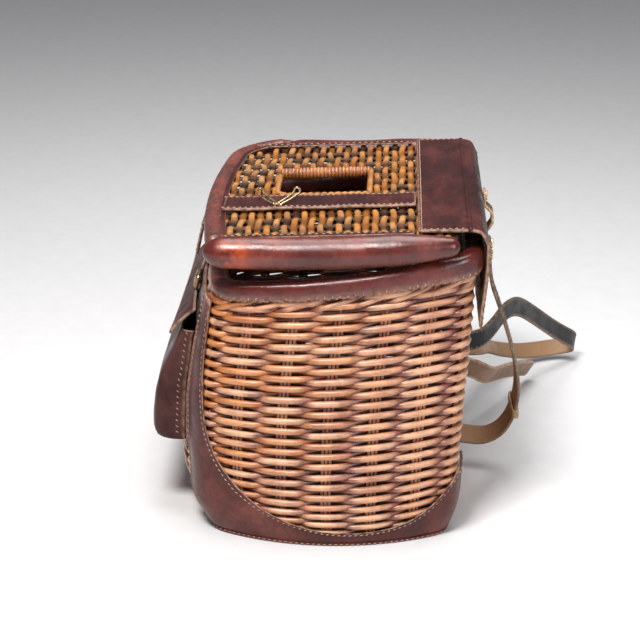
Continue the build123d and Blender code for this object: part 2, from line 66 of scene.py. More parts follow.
def area_light(name, place, target, size, power, colour):
    """Soft rectangular studio light aimed at a point."""
    data = bpy.data.lights.new(name, "AREA")
    data.shape = "RECTANGLE"
    data.size, data.size_y = size
    data.energy = power
    data.color = colour
    light = bpy.data.objects.new(name, data)
    light.location = place
    light.rotation_euler = (Vector(target) - Vector(place)).to_track_quat("-Z", "Y").to_euler()
    scene.collection.objects.link(light)


area_light("key", (1.0, -0.35, 1.75), (0.1, 0.0, 0.12), (0.55, 0.45), 44.0, (1.0, 0.98, 0.95))
area_light("fill", (1.4, 1.1, 0.7), (0.1, 0.05, 0.12), (0.7, 0.6), 13.0, (0.97, 0.98, 1.0))
area_light("top", (-0.2, 0.1, 1.7), (0.0, 0.0, 0.2), (1.1, 1.1), 24.0, (1.0, 0.99, 0.97))
world = bpy.data.worlds.new("studio")
world.use_nodes = True
world.node_tree.nodes["Background"].inputs["Color"].default_value = (0.78, 0.80, 0.84, 1.0)
world.node_tree.nodes["Background"].inputs["Strength"].default_value = 0.24
scene.world = world


# ---------------------------------------------------------------- materials
class Material:
    """A node material, with short ways to add and join its nodes."""

    def __init__(self, name):
        self.mat = bpy.data.materials.new(name)
        self.mat.use_nodes = True
        self.tree = self.mat.node_tree
        self.shader = self.tree.nodes["Principled BSDF"]
        self.coords = self.node("ShaderNodeTexCoord").outputs["Object"]
        self.tint = self.node("ShaderNodeAttribute", attribute_name="tint")

    def node(self, kind, inputs=None, **settings):
        made = self.tree.nodes.new(kind)
        for key, value in settings.items():
            setattr(made, key, value)
        for key, value in (inputs or {}).items():
            self.put(made.inputs[key], value)
        return made

    def put(self, socket, value):
        if isinstance(value, bpy.types.NodeSocket):
            self.tree.links.new(value, socket)
        else:
            socket.default_value = value

    def noise(self, scale, detail=4.0, rough=0.55, stretch=None):
        where = self.coords
        if stretch:
            where = self.node("ShaderNodeMapping", {"Vector": where, "Scale": stretch}).outputs[0]
        return self.node("ShaderNodeTexNoise", {"Vector": where, "Scale": scale, "Detail": detail,
                                                "Roughness": rough}).outputs["Fac"]

    def cells(self, scale):
        return self.node("ShaderNodeTexVoronoi", {"Vector": self.coords,
                                                  "Scale": scale}).outputs[0]

    def ramp(self, value, stops):
        made = self.node("ShaderNodeValToRGB", {"Fac": value})
        elements = made.color_ramp.elements
        while len(elements) < len(stops):
            elements.new(0.5)
        for element, (place, colour) in zip(elements, stops):
            element.position = place
            element.color = (*colour, 1.0)
        return made.outputs["Color"]

    def level(self, value, low, high, start=0.0, end=1.0):
        return self.node("ShaderNodeMapRange", {"Value": value, "From Min": start, "From Max": end,
                                                "To Min": low, "To Max": high}).outputs[0]

    def maths(self, kind, first, second):
        return self.node("ShaderNodeMath", {0: first, 1: second}, operation=kind).outputs[0]

    def mix(self, share, first, second, kind="MIX"):
        made = self.node("ShaderNodeMix", data_type="RGBA", blend_type=kind)
        self.put(made.inputs[0], share)
        for socket, value in ((made.inputs[6], first), (made.inputs[7], second)):
            if not isinstance(value, bpy.types.NodeSocket) and len(value) == 3:
                value = (*value, 1.0)
            self.put(socket, value)
        return made.outputs[2]

    def parts(self):
        return self.node("ShaderNodeSeparateColor", {"Color": self.tint.outputs["Color"]}).outputs

    def bump(self, height, strength, distance, under=None):
        made = self.node("ShaderNodeBump", {"Height": height, "Strength": strength,
                                            "Distance": distance})
        if under:
            self.put(made.inputs["Normal"], under)
        return made.outputs[0]

    def finish(self, colour, rough, normal=None, **values):
        self.put(self.shader.inputs["Base Color"], colour)
        self.put(self.shader.inputs["Roughness"], rough)
        if normal:
            self.put(self.shader.inputs["Normal"], normal)
        for key, value in values.items():
            self.put(self.shader.inputs[key.replace("_", " ")], value)
        return self.mat


def willow(name, dive_shade, shade, crest, amber, gloss, shine=0.5, coat=0.25):
    """Peeled willow: tan on its crest, with painted shade that darkens a rod to dark red where it
    dives, and old varnish.
    """
    m = Material(name)
    crest_light_share, stroke, region = m.parts()[0], m.parts()[1], m.parts()[2]
    blotch = m.noise(42.0, 5.0, 0.65)
    # The first tint is painted light and shade: crest colour where a rod stands out, shade and dive
    # colours where it dives behind the stakes.
    reach = m.maths("ADD", crest_light_share, m.level(blotch, -0.34, 0.30, 0.25, 0.75))
    base = m.ramp(reach, [(0.0, dive_shade), (0.40, shade), (0.84, crest), (1.0, crest)])
    amber_share = m.maths("MULTIPLY", m.ramp(stroke, [(0.25, (0, 0, 0)), (0.75, (1, 1, 1))]),
                          m.level(region, 0.10, 0.95))
    base = m.mix(amber_share, base, m.mix(0.75, base, amber))
    ashen = m.ramp(m.noise(26.0, 4.0, 0.6), [(0.48, (0, 0, 0)), (0.66, (0.75, 0.75, 0.75))])
    base = m.mix(ashen, base, (0.66, 0.50, 0.52), "MULTIPLY")
    streak = m.noise(60.0, 6.0, 0.7, (1.0, 1.0, 3.5))
    base = m.mix(0.62, base, m.ramp(streak, [(0.30, (0.34, 0.20, 0.17)), (0.55, (1, 1, 1)),
                                             (0.75, (1.22, 1.15, 1.08))]), "MULTIPLY")
    base = m.mix(m.level(stroke, 0.0, 0.55), base, (0.66, 0.53, 0.47), "MULTIPLY")
    fine = m.noise(900.0, 3.0, 0.6)
    normal = m.bump(fine, 0.35, 0.0006, m.bump(streak, 0.4, 0.0012))
    return m.finish(base, m.level(m.noise(150.0), *gloss), normal, Coat_Weight=coat,
                    Coat_Roughness=0.25, Specular_IOR_Level=shine)


def leather(name, dark, mid, worn, edge, gloss, grain=0.5, streaks=(1, 1, 1), patch=0.0,
            shine=0.55):
    """Old waxed leather: mottled colour, grain, creases and pale worn edges."""
    m = Material(name)
    wear, flesh, warm = m.parts()[0], m.parts()[1], m.parts()[2]
    cloud = m.noise(14.0, 8.0, 0.62, streaks)
    base = m.ramp(cloud, [(0.28, dark), (0.52, mid), (0.78, worn)])
    speck = m.noise(160.0, 6.0, 0.7)
    base = m.mix(0.55, base, m.ramp(speck, [(0.34, (0.45, 0.40, 0.42)), (0.60, (1, 1, 1)),
                                            (0.80, (1.5, 1.3, 1.2))]), "MULTIPLY")
    if patch:
        share = m.maths("MULTIPLY", warm, m.ramp(m.noise(55.0, 5.0, 0.65),
                                                 [(0.40, (0, 0, 0)), (0.60, (1, 1, 1))]))
        base = m.mix(share, base, (0.40, 0.055, 0.010))
    base = m.mix(m.maths("MULTIPLY", flesh, 0.95), base, (0.30, 0.17, 0.09))
    rubbed = m.maths("MULTIPLY", wear, m.level(m.noise(220.0, 4.0), 0.2, 1.0, 0.35, 0.65))
    base = m.mix(rubbed, base, edge)
    pores = m.cells(1500.0)
    crease = m.noise(70.0, 8.0, 0.7, streaks)
    normal = m.bump(pores, 0.25 * grain, 0.0004, m.bump(crease, 0.55 * grain, 0.0018))
    rough = m.level(m.noise(45.0, 5.0, 0.6, streaks), *gloss, 0.35, 0.65)
    return m.finish(base, rough, normal, Specular_IOR_Level=shine)


MATERIALS = {
    "willow": willow("old_willow", (0.040, 0.009, 0.007), (0.190, 0.060, 0.042),
                     (0.64, 0.36, 0.215), (0.62, 0.21, 0.025), (0.28, 0.48), 0.5, 0.35),
    "lid_willow": willow("lid_willow", (0.020, 0.011, 0.008), (0.15, 0.070, 0.032),
                         (0.42, 0.205, 0.070), (0.60, 0.23, 0.020), (0.45, 0.65), 0.2, 0.06),
    "cane": willow("cane", (0.20, 0.10, 0.05), (0.32, 0.17, 0.07), (0.50, 0.29, 0.12),
                   (0.45, 0.22, 0.06), (0.3, 0.5)),
    "cane_wrap": willow("wrapped_cane", (0.060, 0.014, 0.005), (0.24, 0.070, 0.018),
                        (0.55, 0.24, 0.070), (0.42, 0.13, 0.02), (0.12, 0.3)),
    "boot_leather": leather("boot_leather", (0.026, 0.005, 0.005), (0.085, 0.018, 0.014),
                            (0.23, 0.066, 0.050), (0.42, 0.26, 0.19), (0.30, 0.52),
                            shine=0.35),
    "binding_leather": leather("binding_leather", (0.035, 0.005, 0.005), (0.105, 0.017, 0.013),
                               (0.26, 0.055, 0.034), (0.44, 0.26, 0.19), (0.15, 0.40), 0.5,
                               patch=1.0),
    "yoke_leather": leather("yoke_leather", (0.016, 0.004, 0.004), (0.050, 0.010, 0.009),
                            (0.125, 0.034, 0.026), (0.34, 0.20, 0.15), (0.22, 0.42), 0.5,
                            (1.0, 2.6, 2.6), shine=0.18),
    "pouch_leather": leather("pouch_leather", (0.018, 0.006, 0.006), (0.055, 0.018, 0.016),
                             (0.13, 0.052, 0.045), (0.38, 0.23, 0.17), (0.30, 0.50), shine=0.18),
    "tan_leather": leather("tan_leather", (0.10, 0.045, 0.022), (0.24, 0.12, 0.055),
                           (0.40, 0.235, 0.125), (0.55, 0.37, 0.23), (0.35, 0.55)),
    "strap_leather": leather("strap_leather", (0.006, 0.006, 0.008), (0.014, 0.013, 0.016),
                             (0.030, 0.027, 0.030), (0.30, 0.19, 0.12), (0.34, 0.55), 1.0,
                             shine=0.25),
}


def metal(name, colour, dull):
    """Old brass wire, dulled in patches."""
    m = Material(name)
    base = m.ramp(m.noise(180.0, 4.0), [(0.35, dull), (0.60, colour)])
    return m.finish(base, m.level(m.noise(300.0), 0.18, 0.42), m.bump(m.noise(700.0), 0.2, 0.0003),
                    Metallic=1.0)


MATERIALS["brass_wire"] = metal("brass_wire", (0.85, 0.68, 0.40), (0.40, 0.28, 0.14))


def plain(name, colour, rough, speck):
    """Waxed thread or the studio floor."""
    m = Material(name)
    base = m.mix(speck, (*colour, 1.0), m.ramp(m.noise(40.0 if rough > 0.7 else 900.0), [
        (0.3, tuple(0.75 * c for c in colour)), (0.7, tuple(min(1.0, 1.15 * c) for c in colour))]))
    return m.finish(base, rough)


THREAD = plain("waxed_thread", (0.42, 0.27, 0.18), 0.6, 0.6)
FLOOR = plain("studio_floor", (0.66, 0.66, 0.67), 0.75, 0.12)

floor_mesh = bpy.data.meshes.new("floor")
floor_mesh.from_pydata([(-12, -12, 0), (12, -12, 0), (12, 12, 0), (-12, 12, 0)], [],
                       [(0, 1, 2, 3)])
floor_mesh.materials.append(FLOOR)
floor = bpy.data.objects.new("floor", floor_mesh)
scene.collection.objects.link(floor)


# ---------------------------------------------------------------- gathering meshes
class Pile:
    """Vertices, faces and tints of one piece, in millimetres."""

    def __init__(self):
        self.verts, self.faces, self.tints, self.count = [], [], [], 0

    def add(self, verts, faces, tint=(0.0, 0.0, 0.0)):
        verts = np.asarray(verts, float).reshape(-1, 3)
        for group in faces:
            self.faces += (np.asarray(group, int) + self.count).tolist()
        self.verts.append(verts)
        self.tints.append(np.broadcast_to(np.asarray(tint, float), (len(verts), 3)))
        self.count += len(verts)

    def rod(self, points, across, up, wide, tall, sides=8, tint=(0.0, 0.0, 0.0), closed=False):
        """Add a rod along points, with one tint or a tint for each ring of it."""
        verts, faces = tube(points, across, up, wide, tall, sides, closed)
        self.add(verts, faces, np.repeat(tint, sides, 0) if np.ndim(tint) == 2 else tint)

    def build(self, name, body, slot, replaces=(), material=None):
        mesh = bpy.data.meshes.new(name)
        verts = np.concatenate(self.verts) * MM
        mesh.from_pydata(verts.tolist(), [], self.faces)
        mesh.validate()
        layer = mesh.color_attributes.new("tint", "FLOAT_COLOR", "POINT")
        colours = np.ones((len(verts), 4))
        colours[:, :3] = np.concatenate(self.tints)
        layer.data.foreach_set("color", colours.ravel())
        mesh.polygons.foreach_set("use_smooth", [True] * len(mesh.polygons))
        mesh.materials.append(material or MATERIALS[slot])
        piece = bpy.data.objects.new(name, mesh)
        scene.collection.objects.link(piece)
        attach(piece, body)
        if replaces:
            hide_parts(*replaces)
        return piece


def unit(vectors):
    """Vectors brought to length 1."""
    return vectors / np.maximum(np.linalg.norm(vectors, axis=-1, keepdims=True), 1e-9)


def lengths(points):
    """Length along a line up to each of its points."""
    return np.concatenate([[0], np.cumsum(np.linalg.norm(np.diff(points, axis=0), axis=1))])


def walk(points, length, marks):
    """Places at marks along a line, given the length up to each of its points."""
    return np.stack([np.interp(marks, length, points[:, k]) for k in range(points.shape[1])], -1)


def noise_at(x, y, z):
    """Smooth noise at places given as arrays or numbers."""
    x, y, z = np.broadcast_arrays(x, y, z)
    values = [noise.noise(Vector(p)) for p in zip(x.ravel(), y.ravel(), z.ravel())]
    return np.array(values).reshape(x.shape)


def ring_quads(n, sides, closed=False):
    """Faces between rings of points; a closed piece joins its last ring to its first."""
    i = np.arange(n if closed else n - 1)[:, None]
    j = np.arange(sides)[None]
    here, there = i * sides, (i + 1) % n * sides
    return np.stack([here + j, here + (j + 1) % sides, there + (j + 1) % sides, there + j],
                    -1).reshape(-1, 4)


def joined(first, second, third):
    """Points or tints from three arrays or numbers."""
    return np.stack(np.broadcast_arrays(first, second, third), -1)


def tube(points, across, up, wide, tall, sides=8, closed=False):
    """Round or oval rod along points, with its section on the across and up axes."""
    points = np.asarray(points, float)
    n = len(points)
    across = np.broadcast_to(np.asarray(across, float), points.shape)
    up = np.broadcast_to(np.asarray(up, float), points.shape)
    wide = np.broadcast_to(wide, (n,))[:, None, None]
    tall = np.broadcast_to(tall, (n,))[:, None, None]
    turn = np.linspace(0, 2 * math.pi, sides, endpoint=False)[None, :, None]
    rings = (points[:, None] + wide * np.cos(turn) * across[:, None]
             + tall * np.sin(turn) * up[:, None])
    quads = ring_quads(n, sides, closed)
    along = points[1] - points[0]
    left = np.dot(np.cross(across[0], up[0]), along) < 0
    faces = [quads[:, ::-1] if left else quads]
    if not closed:
        first = np.arange(sides)[::-1][None]
        last = (n - 1) * sides + np.arange(sides)[None]
        faces += [first[:, ::-1], last[:, ::-1]] if left else [first, last]
    return rings.reshape(-1, 3), faces


def carried(points, start):
    """Section axes carried along a curve without twist."""
    points = np.asarray(points, float)
    along = unit(np.gradient(points, axis=0))
    across = np.zeros_like(points)
    last = np.asarray(start, float)
    for k, t in enumerate(along):
        last = last - t * np.dot(t, last)
        last = last / np.linalg.norm(last)
        across[k] = last
    return across, np.cross(along, across)


def smooth_line(points, step):
    """Quadratic spline of control points, resampled to even steps."""
    points = np.asarray(points, float)
    mids = (points[1:] + points[:-1]) / 2
    out = [points[0][None]]
    starts = [points[0]] + list(mids[1:-1])
    controls = points[1:-1]
    ends = list(mids[1:-1]) + [points[-1]]
    t = np.linspace(0, 1, 25)[1:, None]
    for a, b, c in zip(starts, controls, ends):
        out.append((1 - t) ** 2 * a + 2 * t * (1 - t) * b + t ** 2 * c)
    return even_steps(np.concatenate(out), step)


def even_steps(points, step):
    """The same line with its points at even steps."""
    length = lengths(points)
    marks = np.linspace(0, length[-1], max(3, int(round(length[-1] / step)) + 1))
    return walk(points, length, marks)


def slab(grid, thick, worn=(0.9, 0.9, 0.9, 0.9)):
    """Closed leather sheet around a grid of middle points, worn by its own amount per edge."""
    grid = np.asarray(grid, float)
    m, n = grid.shape[:2]
    du, dv = np.gradient(grid, axis=0), np.gradient(grid, axis=1)
    normal = unit(np.cross(du, dv))
    tuck = 0.35
    top = grid + normal * thick / 2
    low = grid - normal * thick / 2
    for face in (top, low):
        face[0] += unit(du[0]) * thick * tuck
        face[-1] -= unit(du[-1]) * thick * tuck
        face[:, 0] += unit(dv[:, 0]) * thick * tuck
        face[:, -1] -= unit(dv[:, -1]) * thick * tuck
    edge = ([(i, 0) for i in range(m)] + [(m - 1, j) for j in range(1, n)]
            + [(i, n - 1) for i in range(m - 2, -1, -1)] + [(0, j) for j in range(n - 2, 0, -1)])
    rim = np.array([grid[i, j] for i, j in edge])
    i, j = np.meshgrid(np.arange(m - 1), np.arange(n - 1), indexing="ij")
    k = (i * n + j).ravel()
    faces = [np.stack([k, k + n, k + n + 1, k + 1], -1)]
    size = m * n
    faces.append(np.stack([k, k + 1, k + n + 1, k + n], -1) + size)
    ids = np.array([a * n + b for a, b in edge])
    ring = 2 * size + np.arange(len(edge))
    nxt = np.roll(np.arange(len(edge)), -1)
    faces.append(np.stack([ids, ring, ring[nxt], ids[nxt]], -1))
    faces.append(np.stack([ring, ids + size, ids[nxt] + size, ring[nxt]], -1))
    tint = np.zeros((2 * size + len(edge), 3))
    fade = np.zeros((m, n))
    fade[:, 0], fade[:, -1] = worn[2], worn[3]
    fade[0], fade[-1] = worn[0], worn[1]
    tint[:size, 0] = tint[size:2 * size, 0] = fade.ravel()
    tint[size:2 * size, 1] = 1.0
    tint[2 * size:, 0] = 1.0
    return np.concatenate([top.reshape(-1, 3), low.reshape(-1, 3), rim]), faces, tint


def stitches(pile, line, outward, pitch, long=3.4, thick=0.42, slant=0.0, raise_by=0.35):
    """Short thread strokes that lie along a line on a surface."""
    line = np.asarray(line, float)
    outward = np.broadcast_to(np.asarray(outward, float), line.shape)
    length = lengths(line)
    for mark in np.arange(pitch / 2, length[-1], pitch):
        spot = walk(line, length, mark)
        ahead = walk(line, length, mark + 0.5)
        out = unit(walk(outward, length, mark))
        if np.linalg.norm(ahead - spot) < 1e-6:
            continue
        along = unit(ahead - spot)
        side = np.cross(out, along)
        turn = slant + rng.uniform(-0.12, 0.12)
        way = math.cos(turn) * along + math.sin(turn) * side
        t = np.linspace(-1, 1, 5)
        points = (spot + way * long / 2 * t[:, None]
                  + out * (raise_by * (1.1 - 1.5 * t[:, None] ** 2)))
        size = thick * np.sqrt(1.05 - t ** 2)
        pile.rod(points, np.cross(out, way), out, size, size, 6)


# ---------------------------------------------------------------- the woven wall's form
LEVELS = np.array([2.8, 18, 50, 110, 175, 245, 290.0])
HALVES = np.array([157, 160, 162, 162.5, 162.5, 162, 161.0])
ENDS = np.array([31, 30, 28, 24, 19, 14, 12.0])
FRONTS = np.array([-96, -104, -109, -111, -104, -90, -80.0])
BULGES = np.array([20, 24, 26, 20, 13, 11, 10.0])
BACKS = np.array([102, 108, 113, 117, 122, 125, 126.0])
RING = 720
CORNERS = [22, 30, 30, 22]
BELLY, BELLY_HALF, BELLY_TALL = 4.5, 134, 57
UPRIGHT = np.array([0.0, 0.0, 1.0])


def natural(xs, ys):
    """Natural cubic spline through the values."""
    n, h = len(xs), np.diff(xs)
    a, r = np.eye(n), np.zeros(n)
    for i in range(1, n - 1):
        a[i, i - 1:i + 2] = h[i - 1], 2 * (h[i - 1] + h[i]), h[i]
        r[i] = 6 * ((ys[i + 1] - ys[i]) / h[i] - (ys[i] - ys[i - 1]) / h[i - 1])
    m = np.linalg.solve(a, r)

    def value(x):
        i = np.clip(np.searchsorted(xs, x) - 1, 0, n - 2)
        d, e = xs[i + 1] - x, x - xs[i]
        return ((m[i] * d ** 3 + m[i + 1] * e ** 3) / (6 * h[i])
                + (ys[i] / h[i] - m[i] * h[i] / 6) * d
                + (ys[i + 1] / h[i] - m[i + 1] * h[i] / 6) * e)
    return value


SMOOTH = [natural(LEVELS, v) for v in (HALVES, FRONTS, BULGES, BACKS, ENDS)]


def arc_through(a, b, c, count=60):
    """Round arc through three points, from the first to the last."""
    a, b, c = (complex(*p) for p in (a, b, c))
    w = (c - a) / (b - a)
    centre = a - (a - b) * (w - abs(w) ** 2) / (2j * w.imag)
    start = math.atan2((a - centre).imag, (a - centre).real)
    end = math.atan2((c - centre).imag, (c - centre).real)
    mid = math.atan2((b - centre).imag, (b - centre).real)
    while mid < start:
        mid += 2 * math.pi
    while end < start:
        end += 2 * math.pi
    if mid > end:
        end -= 2 * math.pi
    turn = np.linspace(start, end, count)
    radius = abs(a - centre)
    return np.stack([centre.real + radius * np.cos(turn), centre.imag + radius * np.sin(turn)], 1)


def trimmed(line, from_start, from_end):
    """A line without a length at each end."""
    length = lengths(line)
    return walk(line, length, np.linspace(from_start, length[-1] - from_end, 60))


def rounded(sides, radii):
    """Join curves end to end with a smooth corner of each radius."""
    cuts = []
    for k, radius in enumerate(radii):
        first, second = sides[k], sides[k + 1]
        t1, t2 = unit(first[-1] - first[-2]), unit(second[1] - second[0])
        turn = math.acos(max(-1.0, min(1.0, float(np.dot(t1, t2)))))
        cuts.append((radius * math.tan(turn / 2), radius * 4 / 3 * math.tan(turn / 4)))
    out = []
    for k, side in enumerate(sides):
        before = cuts[k - 1][0] if k > 0 else 0.0
        after = cuts[k][0] if k < len(cuts) else 0.0
        out.append(trimmed(side, before, after))
    line = []
    for k, part in enumerate(out):
        line.append(part)
        if k < len(cuts):
            nxt = out[k + 1]
            handle = cuts[k][1]
            a, d = part[-1], nxt[0]
            b = a + unit(part[-1] - part[-2]) * handle
            c = d - unit(nxt[1] - nxt[0]) * handle
            t = np.linspace(0, 1, 26)[1:-1, None]
            line.append((1 - t) ** 3 * a + 3 * t * (1 - t) ** 2 * b + 3 * t ** 2 * (1 - t) * c
                        + t ** 3 * d)
    return np.concatenate(line)


def ring_of(half, front, bulge, back, end):
    """Outline from the middle of the back, round by +X, at even steps."""
    mid = (front + back) / 2
    sides = [np.array([(0, back), (half, back)], float),
             arc_through((half, back), (half + end, mid), (half, front)),
             arc_through((half, front), (0, front - bulge), (-half, front)),
             arc_through((-half, front), (-half - end, mid), (-half, back)),
             np.array([(-half, back), (0, back)], float)]
    line = rounded(sides, CORNERS)
    length = lengths(line)
    return walk(line, length, np.linspace(0, length[-1], RING, endpoint=False))


STEP_Z = 5.0
TABLE_Z = np.arange(LEVELS[0], 263.0, STEP_Z)
TABLE = np.array([ring_of(*[float(f(z)) for f in SMOOTH]) for z in TABLE_Z])
TANGENT = unit(np.roll(TABLE, -1, 1) - np.roll(TABLE, 1, 1))
OUTWARD = np.stack([-TANGENT[..., 1], TANGENT[..., 0]], -1)


def on_wall(u, z, out=0.0):
    """Point on the wall at share u of the way round and height z, moved outward."""
    u, z = np.broadcast_arrays(np.asarray(u, float), np.asarray(z, float))
    row = np.clip((z - TABLE_Z[0]) / STEP_Z, 0, len(TABLE_Z) - 1.001)
    col = (u % 1.0) * RING
    i, fi = row.astype(int), (row % 1.0)[..., None]
    j, fj = col.astype(int) % RING, (col % 1.0)[..., None]
    k = (j + 1) % RING

    def pick(t):
        return ((t[i, j] * (1 - fj) + t[i, k] * fj) * (1 - fi)
                + (t[i + 1, j] * (1 - fj) + t[i + 1, k] * fj) * fi)
    flat, way = pick(TABLE), unit(pick(OUTWARD))
    x, y = flat[..., 0], flat[..., 1]
    rise = np.sin(math.pi * np.clip((z - 2) / BELLY_TALL, 0, 1))
    belly = BELLY * np.clip(1 - (x / BELLY_HALF) ** 2, 0, 1) ** 0.6 * rise
    flat = flat + way * (np.asarray(out, float) + belly * (y < 0))[..., None]
    return (np.concatenate([flat, z[..., None]], -1),
            np.concatenate([way, np.zeros(z.shape + (1,))], -1))


def parabola(values):
    """Height round the rim, from its values at the front, the middle and the back."""
    return np.poly1d(np.polyfit([-150.0, 20.0, 150.0], values, 2))


rim_low, rim_top = parabola([209.5, 218.5, 239.0]), parabola([225.5, 236.0, 261.0])

# ---------------------------------------------------------------- woven body
STAKES, ROWS, EACH = 28, 48, 12
ROW_PITCH, ROD, ROD_DEPTH, ROD_SWING = 4.8, 2.8, -3.2, 3.3
STAKE, STAKE_DEPTH, STAKE_GAP, GIRTH_ROUND = 1.6, -6.3, 3.3, 1130
SLANTED, SLANTED_RISE, SLANTED_LONG, SLANTED_ROD = STAKES + 8, 12.0, 1.35, 2.3
BORDER_Z = 215.0
u = np.arange(STAKES * EACH) / (STAKES * EACH)
stake_at = u * STAKES


def row_height(share, spots):
    """Height of a row of weaving at places on the wall: it rises to the back and sags."""
    x, y = np.abs(spots[..., 0]), spots[..., 1]
    free = np.minimum(1, share * 6) * (1 - share)
    z = 4.0 + share * (rim_low(y) - 1.0) + free * (0.045 * y - 6 * (1 - (y / 115) ** 2))
    low = np.clip(1 - share / 0.3, 0, 1) ** 2 * np.clip((x - 130) / 30, 0, 1)
    return z + 10.0 * low * (np.clip(y - 10, 0, 100) / 90) ** 2


def stroke_shades(seed, number):
    """Each stroke of a rod has a shade of its own."""
    return np.array([random.Random(seed + int(k)).random() for k in number])


for half in (0, 1):
    weave = Pile()
    for row in range(half, ROWS, 2):
        z = np.full(u.shape, 100.0)
        for _ in range(3):
            z = row_height((row + 0.6) / ROWS, on_wall(u, np.clip(z, 3, 255))[0])
        pitch = row_height((row + 1.6) / ROWS, on_wall(u, np.clip(z, 3, 255))[0]) - z
        wave = np.cos(math.pi * (stake_at + row))
        wander = noise_at(stake_at * 0.30, row * 2.7, 4.0)
        wander = wander * np.minimum(1, np.minimum(stake_at, STAKES - stake_at))
        girth = 1.0 + 0.13 * noise_at(stake_at * 0.11, row * 5.1, 9.0)
        z = z + 0.6 * wander + 0.35 * np.sin(math.pi * (stake_at + row))
        held = np.clip(1.45 * wave + 0.55, -1, 1)
        held = np.where(wave > -0.9, 0.5 * (wave + held), wave)
        depth = ROD_DEPTH - ROD_SWING * (1 - held * (1.25 - 0.25 * held ** 2))
        y = on_wall(u, z)[0][:, 1]
        points, way = on_wall(u, z, depth)
        tall = girth * (2.85 + 0.25 * wave ** 2) * np.clip(pitch / ROW_PITCH, 0.9, 1.3)
        number = np.floor((stake_at + row + 0.5) / 2).astype(int) % (STAKES // 2)
        stroke = stroke_shades(row * 97, number)
        region = np.clip((75 - y) / 150 * 0.85 + z / 230 * 0.55 - 0.38, 0, 1)
        # The first tint is painted light and shade: lighter where a rod stands out, darker where it
        # dives behind the stakes.
        weave.rod(points, way, UPRIGHT, ROD * girth, tall, 8,
                  joined((wave + 1) / 2, stroke, region), True)
    weave.build("willow_rods_" + "ab"[half], "basket", "willow", ["wicker_body"])

stakes = Pile()
for k in range(STAKES):
    for shift in (-STAKE_GAP, 0.0, STAKE_GAP):
        y = on_wall(k / STAKES, 110.0)[0][1]
        z = np.linspace(3.4, rim_low(y) + 6.0, 30)
        points, way = on_wall(k / STAKES + shift / GIRTH_ROUND, z,
                              STAKE_DEPTH + 0.4 * (shift == 0))
        # Stakes get a partly shaded willow tone: painted shade for their place back in the wall.
        stakes.rod(points, np.cross(way, UPRIGHT), way, STAKE, STAKE, 6,
                   (0.55, rng.random(), 0.5))
stakes.build("willow_stakes", "basket", "willow")

border = Pile()
for k in range(SLANTED):
    t = np.linspace(0, 1, 22)
    us = k / SLANTED - t * SLANTED_LONG / STAKES
    y = on_wall(us, BORDER_Z)[0][:, 1]
    drift = 0.8 * noise_at(k * 1.7, 2.0, 5.0)
    z = rim_low(y) - SLANTED_RISE + drift + (SLANTED_RISE + 0.5) * t
    depth = -8.0 + 5.6 * np.sin(math.pi * np.clip(t * 1.08, 0, 1)) ** 0.7 + 1.6 * t
    points, way = on_wall(us, z, np.minimum(depth, -2.6))
    size = SLANTED_ROD * np.sqrt(np.clip(1.05 - (2 * t - 1) ** 8, 0.1, 1))
    # Painted light and shade: lighter in each rod's middle, where it stands out, and darker at its
    # ends, where it dives in.
    crest = 0.10 + 0.85 * np.abs(np.sin(math.pi * t)) ** 1.4
    border.rod(points, way, UPRIGHT, size, size * 1.05, 8,
               joined(crest, rng.random(), np.clip((40 - y) / 120, 0, 1)))
# plain rods behind the slanting ones close the wall under the rim, darkened with painted shade
us = np.linspace(0, 1, 300, endpoint=False)
y = on_wall(us, BORDER_Z)[0][:, 1]
for low in (2.6, 6.2, 9.8, 13.6, 17.4):
    points, way = on_wall(us, rim_low(y) - low, -6.2)
    border.rod(points, way, UPRIGHT, 1.9, 2.1, 6, (0.2, 0.4, 0.2), True)
border.build("willow_border", "basket", "willow")

# ---------------------------------------------------------------- rim band
RIM = [162.04, -91.0, 11.14, 124.79, 14.36]
rim_ring = ring_of(*RIM)
rim_way = unit(np.roll(rim_ring, -1, 0) - np.roll(rim_ring, 1, 0))
rim_out = np.stack([-rim_way[:, 1], rim_way[:, 0]], 1)


def rim_line(out, z_of, u):
    """Points at one offset round the rim."""
    k = (u % 1.0) * RING
    i, f = k.astype(int) % RING, (k % 1.0)[:, None]
    flat = rim_ring[i] * (1 - f) + rim_ring[(i + 1) % RING] * f
    way = unit(rim_out[i] * (1 - f) + rim_out[(i + 1) % RING] * f)
    z = z_of(flat[:, 1])
    points = np.concatenate([flat + way * np.asarray(out)[..., None], z[:, None]], 1)
    return points, np.concatenate([way, np.zeros((len(u), 1))], 1)


band = Pile()
count = 1000
u = np.arange(count) / count
profile = [(-7.0, 0, 0.6), (0.2, 0, -0.3), (2.6, 0, 0.2), (4.6, 0, 2.4), (5.3, 0, 6.5),
           (5.0, 0.5, 0), (5.0, 1, -6.5), (4.2, 1, -3.4), (2.2, 1, -1.4), (-1.0, 1, -0.7),
           (-5.0, 1, -0.7), (-8.2, 1, -1.4), (-10.5, 1, -3.6), (-11.0, 0.5, 0), (-10.8, 0, 4.0),
           (-9.6, 0, 1.4)]
pucker = noise_at(u * 160 * 0.9, 3.0, 1.0)
ripple = noise_at(u * 60 * 0.9, 8.0, 5.0)
rows = []
tints = []
for step, (out, share, lift) in enumerate(profile):
    low_edge = share == 0
    jag = (0.9 * np.abs(np.sin(math.pi * u * 165)) + 0.8 * pucker) * (step in (0, 1, 2, 15))
    swell = ripple * (1.0 if 3 <= step <= 6 else 0.2) + 0.35 * pucker * low_edge
    line, _ = rim_line(out + np.minimum(swell, 0.5),
                       lambda y: rim_low(y) + share * (rim_top(y) - rim_low(y)) + lift, u)
    line[:, 2] -= jag
    rows.append(line)
    tints.append((1.0 if step in (1, 2) else 0.35 * (step == 3), 0.0, 0.0))
